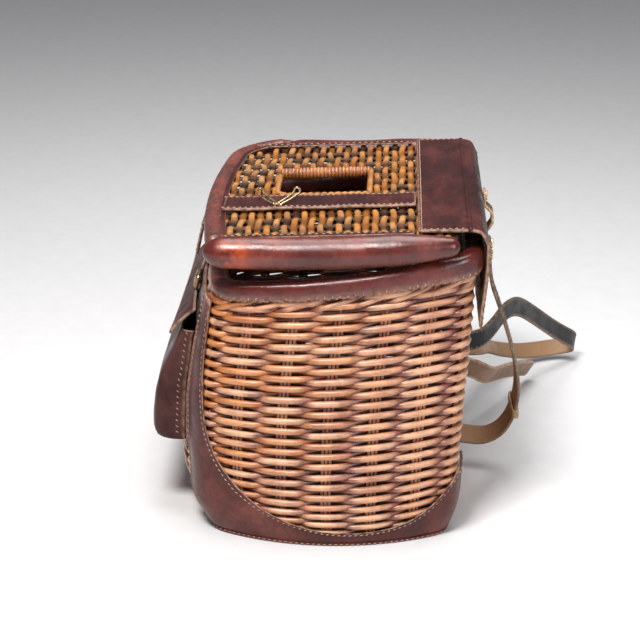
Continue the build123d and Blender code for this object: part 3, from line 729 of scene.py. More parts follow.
band.add(np.stack(rows, 1), [ring_quads(count, len(profile), True)],
         np.tile(np.array(tints), (count, 1)))
band.build("rim_band", "basket", "binding_leather", ["rim_binding"])

sewing = Pile()
line, way = rim_line(3.9, lambda y: rim_low(y) + 2.6, u)
stitches(sewing, line, way, 6.4, 3.8, 0.5, 1.15)
line, way = rim_line(2.2, lambda y: rim_low(y) - 0.2, u)
stitches(sewing, line, way, 6.4, 3.6, 0.45, 0.5)

# ---------------------------------------------------------------- end boots
BOOT = np.array([(-96, 205), (-103, 140), (-95, 78), (-54, 32), (12, 11), (84, 28), (114, 62.0)])
BOOT_REACH, BOOT_TOP, BOOT_FOOT, BOOT_BACK = 138.0, 209.0, 1.2, 62.0
BOOT_OUT, BOOT_THICK = 1.5, 2.4
chord = lengths(BOOT)
curve_y, curve_z = natural(chord, BOOT[:, 0]), natural(chord, BOOT[:, 1])


def u_where_x(z, x, front):
    """Share round the wall, on its right half, where it has this X."""
    us = np.linspace(0.25, 0.5, 200) if front else np.linspace(0.0, 0.25, 200)
    xs = on_wall(us, z)[0][:, 0]
    return float(np.interp(-x, -xs, us)) if front else float(np.interp(x, xs, us))


def u_where_y(z, y):
    """Share round the wall, on its right end, where it has this Y."""
    us = np.linspace(0.11, 0.42, 300)
    ys = on_wall(us, z)[0][:, 1]
    return float(np.interp(-y, -ys, us))


steps, deep = 121, 26
s = np.linspace(0, chord[-1], steps)
inner = np.array([(u_where_y(z, y), z) for y, z in zip(curve_y(s), curve_z(s))])
inner[0, 1] = 208.0
turn_front, turn_back = 52, 100
foot = LEVELS[0]
outer = np.zeros((steps, 2))
for k in range(steps):
    if k <= turn_front:
        z = BOOT_TOP + (BOOT_FOOT - BOOT_TOP) * (k / turn_front)
        outer[k] = u_where_x(max(z, foot), BOOT_REACH, True), z
    elif k >= turn_back:
        z = BOOT_FOOT + (BOOT_BACK - BOOT_FOOT) * ((k - turn_back) / (steps - 1 - turn_back))
        outer[k] = u_where_x(max(z, foot), BOOT_REACH, False), z
    else:
        share = (k - turn_front) / (turn_back - turn_front)
        last = u_where_x(foot, BOOT_REACH, False)
        outer[k] = outer[turn_front][0] * (1 - share) + last * share, BOOT_FOOT
t = np.concatenate([[0, 0.012, 0.030, 0.060], np.linspace(0.10, 0.90, deep - 8),
                    [0.94, 0.97, 0.988, 1.0]])[None, :, None]
flat = inner[:, None] * (1 - t) + outer[:, None] * t
tuck_under = -0.10 * np.maximum(6.0 - flat[..., 1], 0.0) ** 1.6
hem = (0.9 * np.exp(-((t[..., 0] - 0.02) / 0.022) ** 2)
       + 0.7 * np.exp(-((t[..., 0] - 0.985) / 0.015) ** 2))
pull = noise_at(flat[..., 0] * 60, flat[..., 1] * 0.045, 2.0)
for side in (1, -1):
    ragged = flat.copy()
    for edge_column, reach in ((0, 0.0011), (1, 0.0007), (-1, 0.0010), (-2, 0.0006)):
        frill = noise_at(np.arange(steps) * 0.55, edge_column, 3.0)
        ragged[:, edge_column, 0] += reach * frill
        ragged[:, edge_column, 1] += 900 * reach * frill * (edge_column >= 0)
    lift = BOOT_OUT + tuck_under + hem + 0.45 * pull
    points, _ = on_wall(ragged[..., 0], ragged[..., 1], lift)
    points[..., 0] *= side
    if side > 0:
        points = points[::-1]
    boot = Pile()
    boot.add(*slab(points, BOOT_THICK))
    hand = "right" if side > 0 else "left"
    boot.build("boot_" + hand, "basket", "boot_leather", ["end_boot_" + hand])
    for column in (3, -3):
        edge, way = on_wall(flat[:, column, 0], flat[:, column, 1], 2.8)
        edge[:, 0] *= side
        way[:, 0] *= side
        stitches(sewing, edge, way, 4.8, 3.0, 0.42, 0.2 * side, 0.35)

# ---------------------------------------------------------------- front yoke and pocket
def front_share(x, z):
    """Share round the wall of a place on its front, by X."""
    us = np.linspace(0.28, 0.72, 260)
    xs = on_wall(us, z)[0][:, 0]
    return np.interp(-np.asarray(x), -xs, us)


def front_sheet(xs, zs, out):
    """Grid of points over the front, from low to high and from -X to +X."""
    return np.array([on_wall(front_share(xs, z), z, out)[0] for z in zs])


YOKE_HALF, PANEL_HALF, YOKE_LOW, YOKE_TOP = 136, 118, 176, 207
yoke = Pile()
yoke.add(*slab(front_sheet(np.linspace(YOKE_HALF, -YOKE_HALF, 75),
                           np.linspace(YOKE_LOW, YOKE_TOP, 12), 1.5), 2.5))
yoke.add(*slab(front_sheet(np.linspace(PANEL_HALF, -PANEL_HALF, 61),
                           np.linspace(60, YOKE_LOW + 1, 28), 1.45), 2.4))
yoke.build("yoke_panel", "basket", "yoke_leather", ["front_panel"])
for x in (YOKE_HALF - 4.5, 4.5 - YOKE_HALF):
    zs = np.linspace(YOKE_LOW + 2, YOKE_TOP - 2, 20)
    us = np.array([float(front_share([x], z)[0]) for z in zs])
    line, way = on_wall(us, zs, 2.85)
    stitches(sewing, line, way, 5.0, 3.0, 0.4)

POUCH, POUCH_CORNER = 114.0, 8.0
POUCH_GROW = natural(LEVELS, np.array([40, 41, 42, 38, 16.5, 8, 8.0]))
POUCH_BULGE = natural(LEVELS, np.array([2, 2, 2, 3, 5, 8, 8.0]))


def front_y(x, z, grow, bulge):
    """Y of an outline's front at a height, moved outward, with its own bulge."""
    half = float(SMOOTH[0](z)) + grow
    return float(SMOOTH[1](z)) - grow - bulge * (1 - (np.asarray(x) / half) ** 2)


def pouch_ring(z, grow):
    """One level of the pouch: out from the wall, across its front and back again."""
    xs = np.linspace(-POUCH, POUCH, 90)
    base = on_wall(front_share(xs, z), z, 2.9)[0][:, :2]
    front = np.stack([xs, front_y(xs, z, grow, float(POUCH_BULGE(max(z, 70))))], 1)
    room = max(2.0, min(POUCH_CORNER, abs(front[0, 1] - base[0, 1]) * 0.8))
    line = rounded([np.array([base[0], front[0]]), front, np.array([front[-1], base[-1]])],
                   [room, room])
    return even_steps(line, 5.0)


rings = []
marks = [(166.0, 1.0), (165.0, 1.0)] + [(z, 1.0) for z in np.linspace(160, 76, 18)] + [
    (72, 0.985), (69, 0.95), (67.2, 0.88), (66.4, 0.78), (66.2, 0.55), (66.2, 0.25)]
sizes = 90
for z, share in marks:
    grow = 2.9 + (float(POUCH_GROW(max(z, 70))) - 1.3 - 2.9) * share
    line = even_steps(pouch_ring(z, grow), 1.0)
    line = line[np.linspace(0, len(line) - 1, sizes).astype(int)]
    sag = 1.6 * math.exp(-((z - 100) / 45) ** 2)
    bulge = sag * np.sin(np.linspace(0, math.pi, sizes)) ** 2
    ripple = noise_at(line[:, 0] * 0.03, z * 0.05, 3.3)
    line[:, 1] -= (bulge + 0.9 * ripple) * (share > 0.9)
    rings.append(np.concatenate([line, np.full((sizes, 1), z)], 1))
pouch = Pile()
pouch.add(*slab(np.array(rings), 2.4))
pouch.build("pouch", "basket", "pouch_leather", ["pocket_pouch"])
for end in (2, -3):
    line = np.array([r[end] for r in rings[:-4]])
    out = np.array([np.sign(line[0, 0]), 0.0, 0.0])
    stitches(sewing, line + out * 1.2, out, 5.4, 3.2, 0.45, 0.9)

FLAP_Z = np.array([164, 171, 178, 183, 186.5])
flare = natural(FLAP_Z, np.array([36, 31, 21.5, 13, 5.8]))
flap_bulge = natural(FLAP_Z, np.array([-5, -4, 1.5, 7.5, 12.7]))
flap = Pile()
FLAP_HALF = 116.6
xs = np.linspace(FLAP_HALF, -FLAP_HALF, 61)
zs = np.linspace(164.4, 186.0, 14)
grid = np.array([[(x, front_y(x, z, float(flare(z)) - 1.3, float(flap_bulge(z))), z)
                  for x in xs] for z in zs])
drop = np.linspace(1, 0, 14)[:, None] ** 2
grid[..., 2] += drop * (0.8 * np.cos(xs / 31.0))[None]
flap.add(*slab(grid, 2.6))
flap.build("flap", "flap", "pouch_leather", ["pocket_flap"])
hem = Pile()
line = grid[1] + np.array([0, -1.0, 0.9])
stitches(hem, line, (0, -0.75, 0.65), 6.0, 3.6, 0.45)
hem.build("flap_stitches", "flap", "pouch_leather", material=THREAD)

# ---------------------------------------------------------------- lid
TILT = math.radians(2.1)
LID_Y = np.array([0.0, math.cos(TILT), math.sin(TILT)])
LID_Z = np.array([0.0, -math.sin(TILT), math.cos(TILT)])
PIVOT = np.array([0.0, 118.0, 271.0])
SIDE = np.array([1.0, 0.0, 0.0])


def lid(points):
    """Points given in the lid's own plane, in the shared frame."""
    points = np.asarray(points, float)
    return PIVOT + points[..., :1] * SIDE + points[..., 1:2] * LID_Y + points[..., 2:3] * LID_Z


def lid_line(x, y, z):
    """Line given in the lid's own plane by arrays or numbers, in the shared frame."""
    return lid(joined(x, y, z))


def tree_of(node):
    """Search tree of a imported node's faces."""
    mesh = frame["nodes"][node].data
    return BVHTree.FromPolygons([v.co.copy() for v in mesh.vertices],
                                [tuple(p.vertices) for p in mesh.polygons])


lid_tree = tree_of("lid_wicker")


def lid_spans(start, way):
    """Stretches of a straight line that run inside the woven lid."""
    origin = Vector(lid(start) * MM)
    heading = Vector(lid(np.asarray(start) + np.asarray(way)) - lid(start)).normalized()
    hits, here = [], origin
    for _ in range(12):
        spot, _, _, far = lid_tree.ray_cast(here, heading)
        if spot is None:
            break
        hits.append((spot - origin).length / MM)
        here = spot + heading * 2e-5
    return [(a, b) for a, b in zip(hits[::2], hits[1::2]) if b - a > 3.0]


LAYER, LID_PITCH, LID_STAKE, LID_ROD = -5.5, 7.6, 21.0, 3.05
lid_rods = Pile()
row = 0
for ly in np.arange(-216.0, -12.0, LID_PITCH):
    for begin, end in lid_spans((-400.0, ly, LAYER), (1, 0, 0)):
        x = np.arange(begin + 0.6, end - 0.6, 2.4) - 400.0
        if len(x) < 4:
            continue
        wave = np.cos(math.pi * (x / LID_STAKE + row))
        wander = noise_at(x * 0.05, ly, 7.0)
        height = LAYER + 1.55 * wave * (1.25 - 0.25 * wave ** 2)
        points = lid_line(x, ly + 0.9 * wander + 0.5 * np.sin(math.pi * x / LID_STAKE), height)
        girth = 1 + 0.12 * wander
        number = np.floor((x / LID_STAKE + row + 0.5) / 2).astype(int)
        stroke = stroke_shades(row * 131 + 999, number)
        # The first tint is painted light and shade: lighter where a rod rises over a stake, darker
        # where it sinks.
        lid_rods.rod(points, LID_Y, LID_Z, (LID_ROD - 0.25 * wave) * girth, 2.1 * girth, 8,
                     joined((wave + 1) / 2, stroke, 0.55))
    row += 1
lid_rods.build("lid_rods", "lid", "lid_willow", ["lid_wicker"])

lid_stakes = Pile()
for x in np.arange(-138.0, 158.0, LID_STAKE):
    for shift in (-2.4, 2.4):
        for begin, end in lid_spans((x + shift, -300.0, LAYER), (0, 1, 0)):
            ly = np.linspace(begin + 0.5, end - 0.5, 24) - 300.0
            # Lid stakes get a low crest value: painted shade for lying under the woven rods.
            lid_stakes.rod(lid_line(x + shift, ly, LAYER - 1.0), SIDE, LID_Z, 1.5, 1.4, 6,
                           (0.10, rng.random(), 0.0))
lid_stakes.build("lid_stakes", "lid", "lid_willow")


def rolled(x, nose, name, node):
    """Leather roll along one end of the lid, dished a little, with its worn nose."""
    tail, drop, fat, tip = -9.0, -8.7, 13.4, 6.8
    ys = np.concatenate([nose + 20 * (1 - np.cos(np.linspace(0.12, math.pi / 2, 12))),
                         np.linspace(nose + 24, -60, 60), np.linspace(-56, tail - 6, 18),
                         tail - 6 + 6 * np.sin(np.linspace(0.3, 1.5, 5))])
    girth = np.where(ys < nose + 20, fat * np.sqrt(np.clip(1 - ((nose + 20 - ys) / 20) ** 2,
                                                           0.004, 1)), fat)
    back = np.clip((ys + 62) / (tail + 62), 0, 1)
    girth = np.where(ys > -62, fat + (tip - fat) * (back ** 1.3), girth)
    end = np.clip((ys - (tail - 6)) / 6, 0, 1)
    girth = girth * np.sqrt(np.clip(1 - 0.93 * end ** 2, 0.05, 1))
    along = np.clip((ys - nose) / (tail - nose), 0, 1)
    dish = -3.0 * np.sin(math.pi * along) ** 1.5
    centre = lid_line(x, ys, drop + dish)
    sides = 40
    turn = np.linspace(0, 2 * math.pi, sides, endpoint=False)
    verts = []
    tint = []
    for k, c in enumerate(centre):
        for a in turn:
            bump = 0.35 * noise.noise(Vector((math.cos(a) * 1.3, ys[k] * 0.035, math.sin(a) * 1.3)))
            seam = -0.5 * math.exp(-((a - 2.2) / 0.07) ** 2)
            r = girth[k] + min(bump, 0.12) * (girth[k] > 5) + seam
            flatter = 1.0 if x > 0 else 0.93 if math.sin(a) < 0 else 0.70
            verts.append(c + r * (math.cos(a) * SIDE + flatter * math.sin(a) * LID_Z))
            front = math.exp(-((ys[k] - nose - 26) / 12) ** 4)
            rub = 0.35 * max(0.0, -math.sin(a)) ** 2
            tint.append((rub * 0.35, 0.0, front * max(0.0, math.cos(a - 0.1)) if x > 0 else 0.0))
    n = len(ys)
    quads = np.roll(ring_quads(n, sides)[:, ::-1], 1, axis=1)
    pile = Pile()
    pile.add(np.array(verts), [quads, np.arange(sides)[None],
                               ((n - 1) * sides + np.arange(sides))[::-1][None]], np.array(tint))
    pile.build(name, "lid", "binding_leather", node)


rolled(174.5, -220.0, "roll_right", ["lid_end_roll_right", "lid_end_core_right"])
rolled(-174.5, -172.0, "roll_left", ["lid_end_roll_left", "lid_end_core_left"])

# front edge of the lid, from the right roll's nose round to the left roll
arc = arc_through((180.0, -208.0), (0.0, -222.0), (-180.0, -208.0), 200)
arc = arc[::-1] if arc[0, 0] < 0 else arc
path = rounded([np.array([(180.0, -150.0), (180.0, -208.0)]), arc,
                np.array([(-180.0, -208.0), (-180.0, -130.0)])], [26.0, 66.0])
keep = [k for k, p in enumerate(path) if not (p[0] > 158 and p[1] > -216)
        and not (p[0] < -160 and p[1] > -160)]
path = even_steps(path[keep], 1.6)
line = lid_line(path[:, 0], path[:, 1], -6.5)
marks = np.arange(len(line))
pleat = 0.5 * noise_at(marks * 0.28, 1.0, 6.0)
pleat = pleat - 0.30 * np.abs(np.sin(marks * 1.6 * math.pi / 7.5))
along = unit(np.gradient(line, axis=0))
across = unit(np.cross(along, LID_Z[None]))
ups = np.cross(across, along) * -1
ups = ups * np.sign(np.sum(ups * LID_Z, 1))[:, None]
edging = Pile()
taper = 1 - 0.35 * np.clip((marks - len(marks) + 9) / 8, 0, 1)
edging.rod(line, across, ups, (7.9 + pleat) * taper, (7.8 + pleat) * taper, 20,
           (0.12, 0.0, 0.1))
edging.build("front_edging", "lid", "binding_leather", ["lid_front_binding", "lid_front_rod"])

lid_sewing = Pile()
inward = across * np.sign(np.sum(across * (lid([[0, -100, -6.5]]) - line), 1))[:, None]
stitches(lid_sewing, line + inward * 7.0 + ups * 3.6, unit(inward * 0.6 + ups * 0.8), 6.2, 3.6,
         0.5, 1.0, 0.2)

# flat leather welts beside the rolls and inside the front edge
welt = Pile()
flank = np.array([[(x, ly, -1.1) for x in (161.5, 160.9, 159.5, 157.5, 155.5, 154.1, 153.5)]
                  for ly in np.linspace(-206, -46, 60)])
welt.add(*slab(lid(flank), 1.6))
flank[..., 0] *= -1
flank[..., 1] = flank[..., 1] * 0.86 - 8
welt.add(*slab(lid(flank[::-1]), 1.6))
band_line = line + inward * 8.6 + ups * 4.6
welt.add(*slab(np.stack([band_line + inward * w - ups * 0.05 * w ** 2
                         for w in (2.4, 1.9, 1.0, 0.0, -1.0, -1.9, -2.4)], 1), 1.5))
welt.build("lid_welts", "lid", "yoke_leather")
for x in (157.2, -157.2):
    stitches(lid_sewing, lid_line(x, np.linspace(-205, -48, 60), -0.2), LID_Z, 5.8, 3.4, 0.42)

# ---------------------------------------------------------------- leather over the lid
LID_FACE, CLEAR, LEATHER, WIRE = -1.6, 0.2, 2.6, 0.9
TONGUE_X, STRAP_HALF = 56.0, 20.7
low = LID_FACE + CLEAR
ly = np.linspace(-44, -212.0, 70)
profile = np.stack([ly, low + 1.3 + 0.25 * np.sin(ly / 9.0)], 1)
over = Pile()
xs = np.linspace(TONGUE_X - STRAP_HALF, TONGUE_X + STRAP_HALF, 12)
over.add(*slab(lid(np.array([[(x, *p) for x in xs[::-1]] for p in profile[::-1]])), 2.4))
over.build("over_strap", "lid", "yoke_leather", ["lid_strap"])
for x in (TONGUE_X - 17.4, TONGUE_X + 17.4):
    seam = lid_line(x, profile[:, 0], profile[:, 1] + 1.2)
    stitches(lid_sewing, seam, LID_Z, 5.0, 3.2, 0.42, 0.0, 0.25)

TONGUE_LONG = 30.7
pin = lid(np.array([TONGUE_X, -229.3, -13.5]))
lean = math.radians(13.0)
down = np.array([0.0, -math.sin(lean), -math.cos(lean)])
t = np.linspace(0, TONGUE_LONG, 22)
half = 16.0 - 10.5 * (1 - np.sqrt(np.clip(1 - (np.clip(t - 20.3, 0, 30) / 10.6) ** 2, 0, 1)))
strip = np.array([[pin + down * d + SIDE * w * h + np.array([0, -0.35 * math.sin(d / 9), 0])
                   for w in np.linspace(-1, 1, 13)] for d, h in zip(t, half)])
tongue = Pile()
tongue.add(*slab(strip[:, ::-1], 2.1))
bead_x = np.linspace(-16, 16, 9)
tongue.rod(pin + bead_x[:, None] * SIDE, (0, 1.0, 0), UPRIGHT, 1.65, 1.65, 12, (0.5, 0, 0))
tongue.build("tongue", "tongue", "yoke_leather", ["closing_tongue"])
tongue_sewing = Pile()
for w in (-0.82, 0.82):
    seam = np.array([pin + down * d + SIDE * w * h + np.array([0, -1.25, 0.1])
                     for d, h in zip(t[2:-3], half[2:-3])])
    stitches(tongue_sewing, seam, (0, -1.0, 0.15), 4.8, 3.0, 0.4, 0, 0.2)
tongue_sewing.build("tongue_stitches", "tongue", "yoke_leather", material=THREAD)

hinge_top = Pile()
HINGE_HALF = 159.6
xs = np.linspace(-HINGE_HALF, HINGE_HALF, 81)
ly = np.linspace(-43, -1.0, 16)
ease = 0.5 * noise_at(xs * 0.035, ly[:, None] * 0.03, 4.4)
grid = np.array([[(x, y, low + 1.35) for x in xs] for y in ly])
grid[..., 2] += ease * np.clip((-3 - grid[..., 1]) / 6, 0, 1) + 0.1
hinge_top.add(*slab(lid(grid[::-1]), 2.4, worn=(0.0, 0.9, 0.9, 0.9)))
hinge_top.rod(lid_line(np.linspace(-159.4, 159.4, 81), 0.0, 0.0), LID_Y, LID_Z, 2.0, 2.0, 12)
hinge_top.build("hinge_top", "lid", "yoke_leather", ["hinge_leather_lid"])
seam = lid_line(np.linspace(-158, 158, 90), -40.0, low + 2.7)
stitches(lid_sewing, seam, LID_Z, 5.2, 3.4, 0.45, 0.15, 0.3)
for x in (156.6, -156.6):
    seam = lid_line(x, np.linspace(-40, -4, 20), low + 2.7)
    stitches(lid_sewing, seam, LID_Z, 5.2, 3.2, 0.42, 0, 0.3)
lid_sewing.build("lid_stitches", "lid", "yoke_leather", material=THREAD)

ROUTE = [(118.0, 271.0), (127.5, 269.5), (133.2, 258.0), (133.2, 238.0), (128.0, 187.0)]


def side_route(points, radii, step):
    """Straight runs between points with a bend at each, as on the side view."""
    return even_steps(rounded([np.array(pair) for pair in zip(points, points[1:])], radii), step)


route = side_route(ROUTE, [6.0, 6.0, 20.0], 3.0)
grid = np.array([[(x, y, z) for x in xs] for y, z in route])
ease = noise_at(xs * 0.03, route[:, 1:] * 0.03, 8.0)
grid[..., 1] += 0.7 * ease * np.clip((264 - grid[..., 2]) / 20, 0, 1)
hinge_back = Pile()
hinge_back.add(*slab(grid[::-1], 2.4, worn=(0.9, 0.0, 0.9, 0.9)))
hinge_back.build("hinge_back", "basket", "yoke_leather", ["hinge_leather_back"])
BACK_FACE = unit(np.array([0.0, 1.0, 0.08]))
for x in (156.4, -156.4):
    seam = joined(x, route[:, 0], route[:, 1])[6:]
    stitches(sewing, seam + BACK_FACE * 1.35, BACK_FACE, 5.4, 3.2, 0.45, 0, 0.25)
seam = joined(np.linspace(-156, 156, 80), route[-2, 0], route[-2, 1])
stitches(sewing, seam + BACK_FACE * 1.35, BACK_FACE, 5.4, 3.2, 0.45, 0, 0.25)

# ---------------------------------------------------------------- fish hole: bar and borders
bar = Pile()
bar_x, bar_z = -58.15, -3.6
ys = np.linspace(-167.4, -86.6, 190)
winding = np.abs(np.sin(math.pi * ys / 3.3))
thick = 4.9 + 0.55 * winding + 0.2 * np.sin(ys / 6.0)
# The wrap is lighter on each winding's ridge and darker in the grooves between: painted highlight
# and shade.
bar.rod(lid_line(bar_x, ys, bar_z), SIDE, LID_Z, thick, thick, 18,
        joined(0.12 + 0.62 * winding, 0.5 + 0.5 * np.sin(ys * 1.7), 0.9))
bar.build("hole_grip", "lid", "cane_wrap", ["hole_bar", "hole_bar_rod"])

hole_edge = Pile()
corner = rounded([np.array([(-50.0, -168.6), (20.6, -168.6)]),
                  np.array([(20.6, -168.6), (20.6, -85.4)]),
                  np.array([(20.6, -85.4), (-62.0, -85.4)])], [16.0, 3.0])
corner = even_steps(corner, 1.2)
twist = np.arange(len(corner)) * 0.62
for strand in (0.0, math.pi):
    offset = unit(np.gradient(corner, axis=0))[:, ::-1] * (1, -1)
    spot = corner + offset * (1.1 * np.cos(twist + strand))[:, None]
    points = lid_line(spot[:, 0], spot[:, 1], -4.2 + 1.4 * np.sin(twist + strand))
    across, ups = carried(points, UPRIGHT)
    # Each strand is lighter where it rises and darker where it sinks: painted light and shade.
    hole_edge.rod(points, across, ups, 1.9, 1.9, 7,
                  joined(0.5 + 0.4 * np.sin(twist + strand), 0.4, 0.6))
hole_edge.build("hole_border", "lid", "lid_willow")

# ---------------------------------------------------------------- wire clip
clip = Pile()
root, reach, spread, gape, rise = (72.0, -164.0), 30.0, 16.0, 4.5, 7.0
base_z = LID_FACE + CLEAR + LEATHER + WIRE + CLEAR
for hand in (-1, 1):
    tip = (root[0] - reach, root[1] + hand * spread)
    controls = [(root[0], root[1] - gape / 2, base_z),
                (tip[0] + 12, tip[1] - 3, base_z + 4),
                (tip[0] + 2, tip[1] - gape / 2, base_z + rise),
                (tip[0] - 0.6, tip[1], base_z + rise),
                (tip[0] + 2, tip[1] + gape / 2, base_z + rise),
                (tip[0] + 12, tip[1] + 3, base_z + 4),
                (root[0], root[1] + gape / 2, base_z)]
    wire = smooth_line(lid(controls), 0.9)
    across, ups = carried(wire, UPRIGHT)
    clip.rod(wire, across, ups, WIRE, WIRE, 10)
turns = np.linspace(0, 2 * math.pi * 3, 60)
coil = lid_line(root[0] + 1.2 * np.cos(turns), root[1] + np.linspace(-3.6, 3.6, 60),
                base_z + 0.6 + 1.2 * np.sin(turns))
across, ups = carried(coil, UPRIGHT)
clip.rod(coil, across, ups, 0.7, 0.7, 8)
clip.build("clip", "lid", "brass_wire", ["wire_clip"])

# ---------------------------------------------------------------- buckle
def yoke_y(z):
    """Y of the yoke's outer face under the tongue."""
    share = 1 - (TONGUE_X / np.interp(z, LEVELS, HALVES)) ** 2
    return np.interp(z, LEVELS, FRONTS) - np.interp(z, LEVELS, BULGES) * share - LEATHER


BUCKLE_Z, BUCKLE_TALL = 191.5, 9.5
rise_y = yoke_y(BUCKLE_Z + BUCKLE_TALL) - yoke_y(BUCKLE_Z)
UP = unit(np.array([0.0, rise_y, BUCKLE_TALL]))
FACE = np.cross(SIDE, UP)
SEAT = np.array([TONGUE_X, yoke_y(BUCKLE_Z), BUCKLE_Z])
BAR = SEAT + FACE * 3.6


def at_bar(points):
    """Points given from the buckle's bar, in the shared frame."""
    points = np.asarray(points, float)
    return BAR + points[..., :1] * SIDE + points[..., 1:2] * UP + points[..., 2:3] * FACE


buckle = Pile()
outline = [(-11.6, 0, 0), (-11.6, 5, 0), (-11.0, 8.1, 0), (-6, 8.1, 0), (6, 8.1, 0),
           (11.0, 8.1, 0), (11.6, 5, 0), (11.6, 0, 0)]
wire = smooth_line(at_bar(outline), 0.8)
across, ups = carried(wire, FACE)
buckle.rod(wire, across, ups, 1.35, 1.3, 12)
bar_line = at_bar([(x, 0, 0) for x in np.linspace(-12.6, 12.6, 9)])
buckle.rod(bar_line, UP, FACE, 1.45, 1.45, 12)
buckle.build("buckle_wire", "buckle", "brass_wire", ["buckle_frame"])

prong = Pile()
ring = np.linspace(0, 2 * math.pi, 20, endpoint=False)
loop = at_bar([(0, 2.3 * math.sin(a), 2.3 * math.cos(a)) for a in ring])
prong.rod(loop, unit(loop - BAR), SIDE, 0.8, 1.9, 8, closed=True)
pin_line = at_bar([(0, y, 2.75 - 0.02 * y) for y in np.linspace(0, 10.4, 14)])
prong.rod(pin_line, SIDE, FACE, np.linspace(1.1, 0.7, 14), np.linspace(1.0, 0.65, 14), 10)
prong.build("prong", "prong", "brass_wire", ["buckle_prong"])

chape = Pile()
loops = [(-4.4, -2.4), (-3.2, -2.4), (-1.6, -2.3)]
bend = [(2.45 * math.sin(a), 2.45 * math.cos(a)) for a in np.linspace(math.pi * 1.12, 0, 16)]
back = [(-1.5, 2.3), (-2.5, 1.4), (-3.3, 0.2), (-4.3, -0.6)]
for near, far in ((-8.8, -2.9), (2.9, 8.8)):
    xs = np.linspace(near, far, 7)
    grid = np.array([[at_bar((x, y, z)) for x in xs] for y, z in loops + bend + back])
    chape.add(*slab(grid, 1.5))
chape.build("chape", "basket", "tan_leather", ["buckle_chape"])

# ---------------------------------------------------------------- carrying loop and harness
loop_route = side_route([(136.2, 258.0), (136.2, 246.0), (143.5, 239.0), (143.8, 229.0),
                         (136.4, 219.0), (134.2, 209.0)], [5.0] * 4, 1.6)
loop = Pile()
xs = np.linspace(-30.7, -9.3, 8)
loop.add(*slab(np.array([[(x, y, z) for x in xs] for y, z in loop_route])[::-1], 2.4))
loop.build("carry_loop", "basket", "tan_leather", ["back_loop"])

NEAR = [(100, 136.4, 248), (100, 136.4, 216), (97, 146, 190), (85, 155, 160), (65, 162.5, 130),
        (45, 168, 99), (25, 166.5, 67), (12, 158, 42), (5, 143, 29), (0, 128, 27.7),
        (0, 113.8, 30)]
FAR = [(-46, 120.4, 104), (-47, 136, 104), (-80, 150, 106), (-115, 163, 112), (-158, 178, 104),
       (-205, 200, 76), (-252, 226, 44), (-292, 254, 18), (-296, 226, 11.5), (-276, 190, 13),
       (-235, 162, 30), (-180, 146, 54), (-126, 138, 70), (-122, 119.2, 72)]
WAIST = [(-86, 118.6, 66), (-87, 134, 62), (-98, 145, 52), (-120, 152, 43), (-150, 166, 37),
         (-188, 184, 26), (-225, 197, 13)]
HARNESS_HALF = 9.8


def strap_piece(name, route, flat, slot, node, outer, rounded_end=False):
    """Flat leather strap along its route, black outside and tan inside and on its edges."""
    line = smooth_line(route, 3.0)
    across, ups = carried(line, flat)
    ws = np.linspace(-1, 1, 9)
    half = np.full(len(line), HARNESS_HALF)
    if rounded_end:
        left = np.arange(len(line))[::-1] * 3.0
        near_end = np.clip((9.5 - left) / HARNESS_HALF, 0, 1)
        half = HARNESS_HALF * np.sqrt(np.clip(1 - near_end ** 2, 0.05, 1))
    grid = line[:, None] + ws[None, :, None] * half[:, None, None] * across[:, None]
    face = np.cross(np.gradient(line, axis=0), across)
    curl = (ws ** 2 - 0.4) * 0.5
    grid = grid + unit(face)[:, None] * curl[None, :, None]
    if np.sum(face * outer) < 0:
        grid = grid[:, ::-1]
    pile = Pile()
    pile.add(*slab(grid, 2.8))
    pile.build(name, "basket", slot, [node])
    normal = unit(np.cross(np.gradient(grid, axis=0), np.gradient(grid, axis=1)))
    for w in (1, -2):
        stitches(sewing, grid[:, w], normal[:, w] * 1.0, 5.6, 3.0, 0.36, 0, 1.45)
    return line, across


near_line, near_across = strap_piece("harness_near", NEAR, (1, 0, 0), "strap_leather",
                                     "strap_near", np.array([0, 0.4, -0.2]))
strap_piece("harness_far", FAR, (0, 0, 1), "strap_leather", "strap_far",
            np.array([0.2, 0.4, 0.0]))
strap_piece("harness_waist", WAIST, (0, 0, 1), "tan_leather", "strap_waist",
            np.array([0.2, 0.4, 0.0]), True)

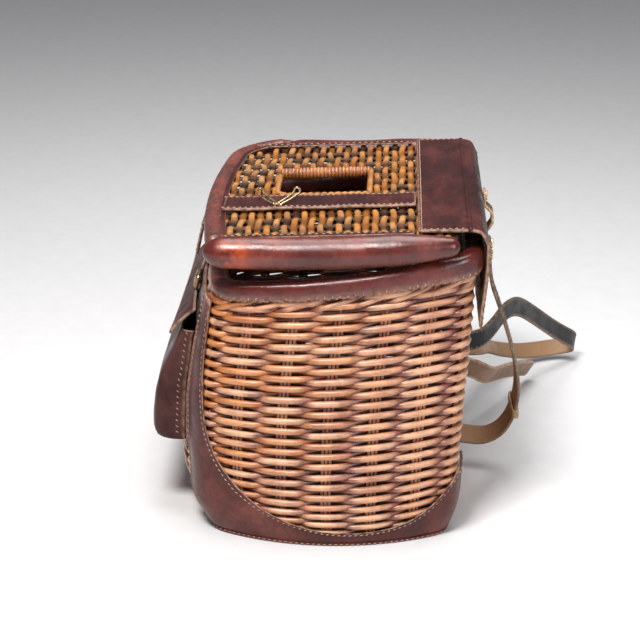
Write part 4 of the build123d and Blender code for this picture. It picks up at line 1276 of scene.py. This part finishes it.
keeper = Pile()
at = int(np.argmin(np.abs(near_line[:, 2] - 67)))
spot, wide = near_line[at], near_across[at]
heading = unit(near_line[at + 1] - near_line[at - 1])
thin = np.cross(heading, wide)
KEEPER_WIDE, KEEPER_DEEP = 11.2, 2.5
band_line = side_route([(0, -KEEPER_DEEP), (KEEPER_WIDE, -KEEPER_DEEP), (KEEPER_WIDE, KEEPER_DEEP),
                        (-KEEPER_WIDE, KEEPER_DEEP), (-KEEPER_WIDE, -KEEPER_DEEP),
                        (-0.3, -KEEPER_DEEP)], [1.6] * 4, 1.6)
grid = np.array([[spot + wide * a + thin * b + UPRIGHT * w for w in np.linspace(-4.3, 4.3, 5)]
                 for a, b in band_line])
keeper.add(*slab(grid, 1.4))
keeper.build("keeper", "basket", "tan_leather", ["strap_keeper"])

PAD_SIDES = 72
turn = np.linspace(0, 2 * math.pi, PAD_SIDES, endpoint=False)
shape = np.stack([np.sign(np.cos(turn)) * np.abs(np.cos(turn)) ** 0.45 * 14.8,
                  np.sign(np.sin(turn)) * np.abs(np.sin(turn)) ** 0.45 * 19.7], 1)
pads = Pile()
for x, z in ((0.0, 30.0), (-46.0, 104.0), (-122.0, 72.0), (-86.0, 66.0)):
    verts, share = [], []
    for scale, out in ((0.0, 2.5), (0.5, 2.5), (0.86, 2.45), (0.93, 2.35), (0.98, 2.0),
                       (1.0, 1.3), (0.995, 0.35), (0.6, 0.3), (0.0, 0.3)):
        for a, b in shape:
            px, pz = x + a * scale, z + b * scale
            base = float(np.interp(pz, LEVELS, BACKS))
            verts.append((px, base + out, pz))
            share.append((0.8 if scale > 0.96 else 0.0, 0.0, 0.0))
    pads.add(verts, [np.roll(ring_quads(9, PAD_SIDES)[:, ::-1], 1, axis=1)], share)
    ring = np.array([(x + a * 0.84, float(np.interp(z + b * 0.84, LEVELS, BACKS)) + 2.6,
                      z + b * 0.84) for a, b in np.concatenate([shape, shape[:1]])])
    stitches(sewing, ring, (0, 1.0, -0.1), 5.0, 3.0, 0.4, 0, 0.2)
pads.build("anchor_pads", "basket", "boot_leather", ["strap_pads"])
sewing.build("basket_stitches", "basket", "tan_leather", material=THREAD)

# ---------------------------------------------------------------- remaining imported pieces
SLOTS = {p["node"]: p["material_slot"] for p in frame["record"]["subparts"]}
for node, piece in frame["nodes"].items():
    piece.data.materials.clear()
    piece.data.materials.append(MATERIALS[SLOTS[node]])
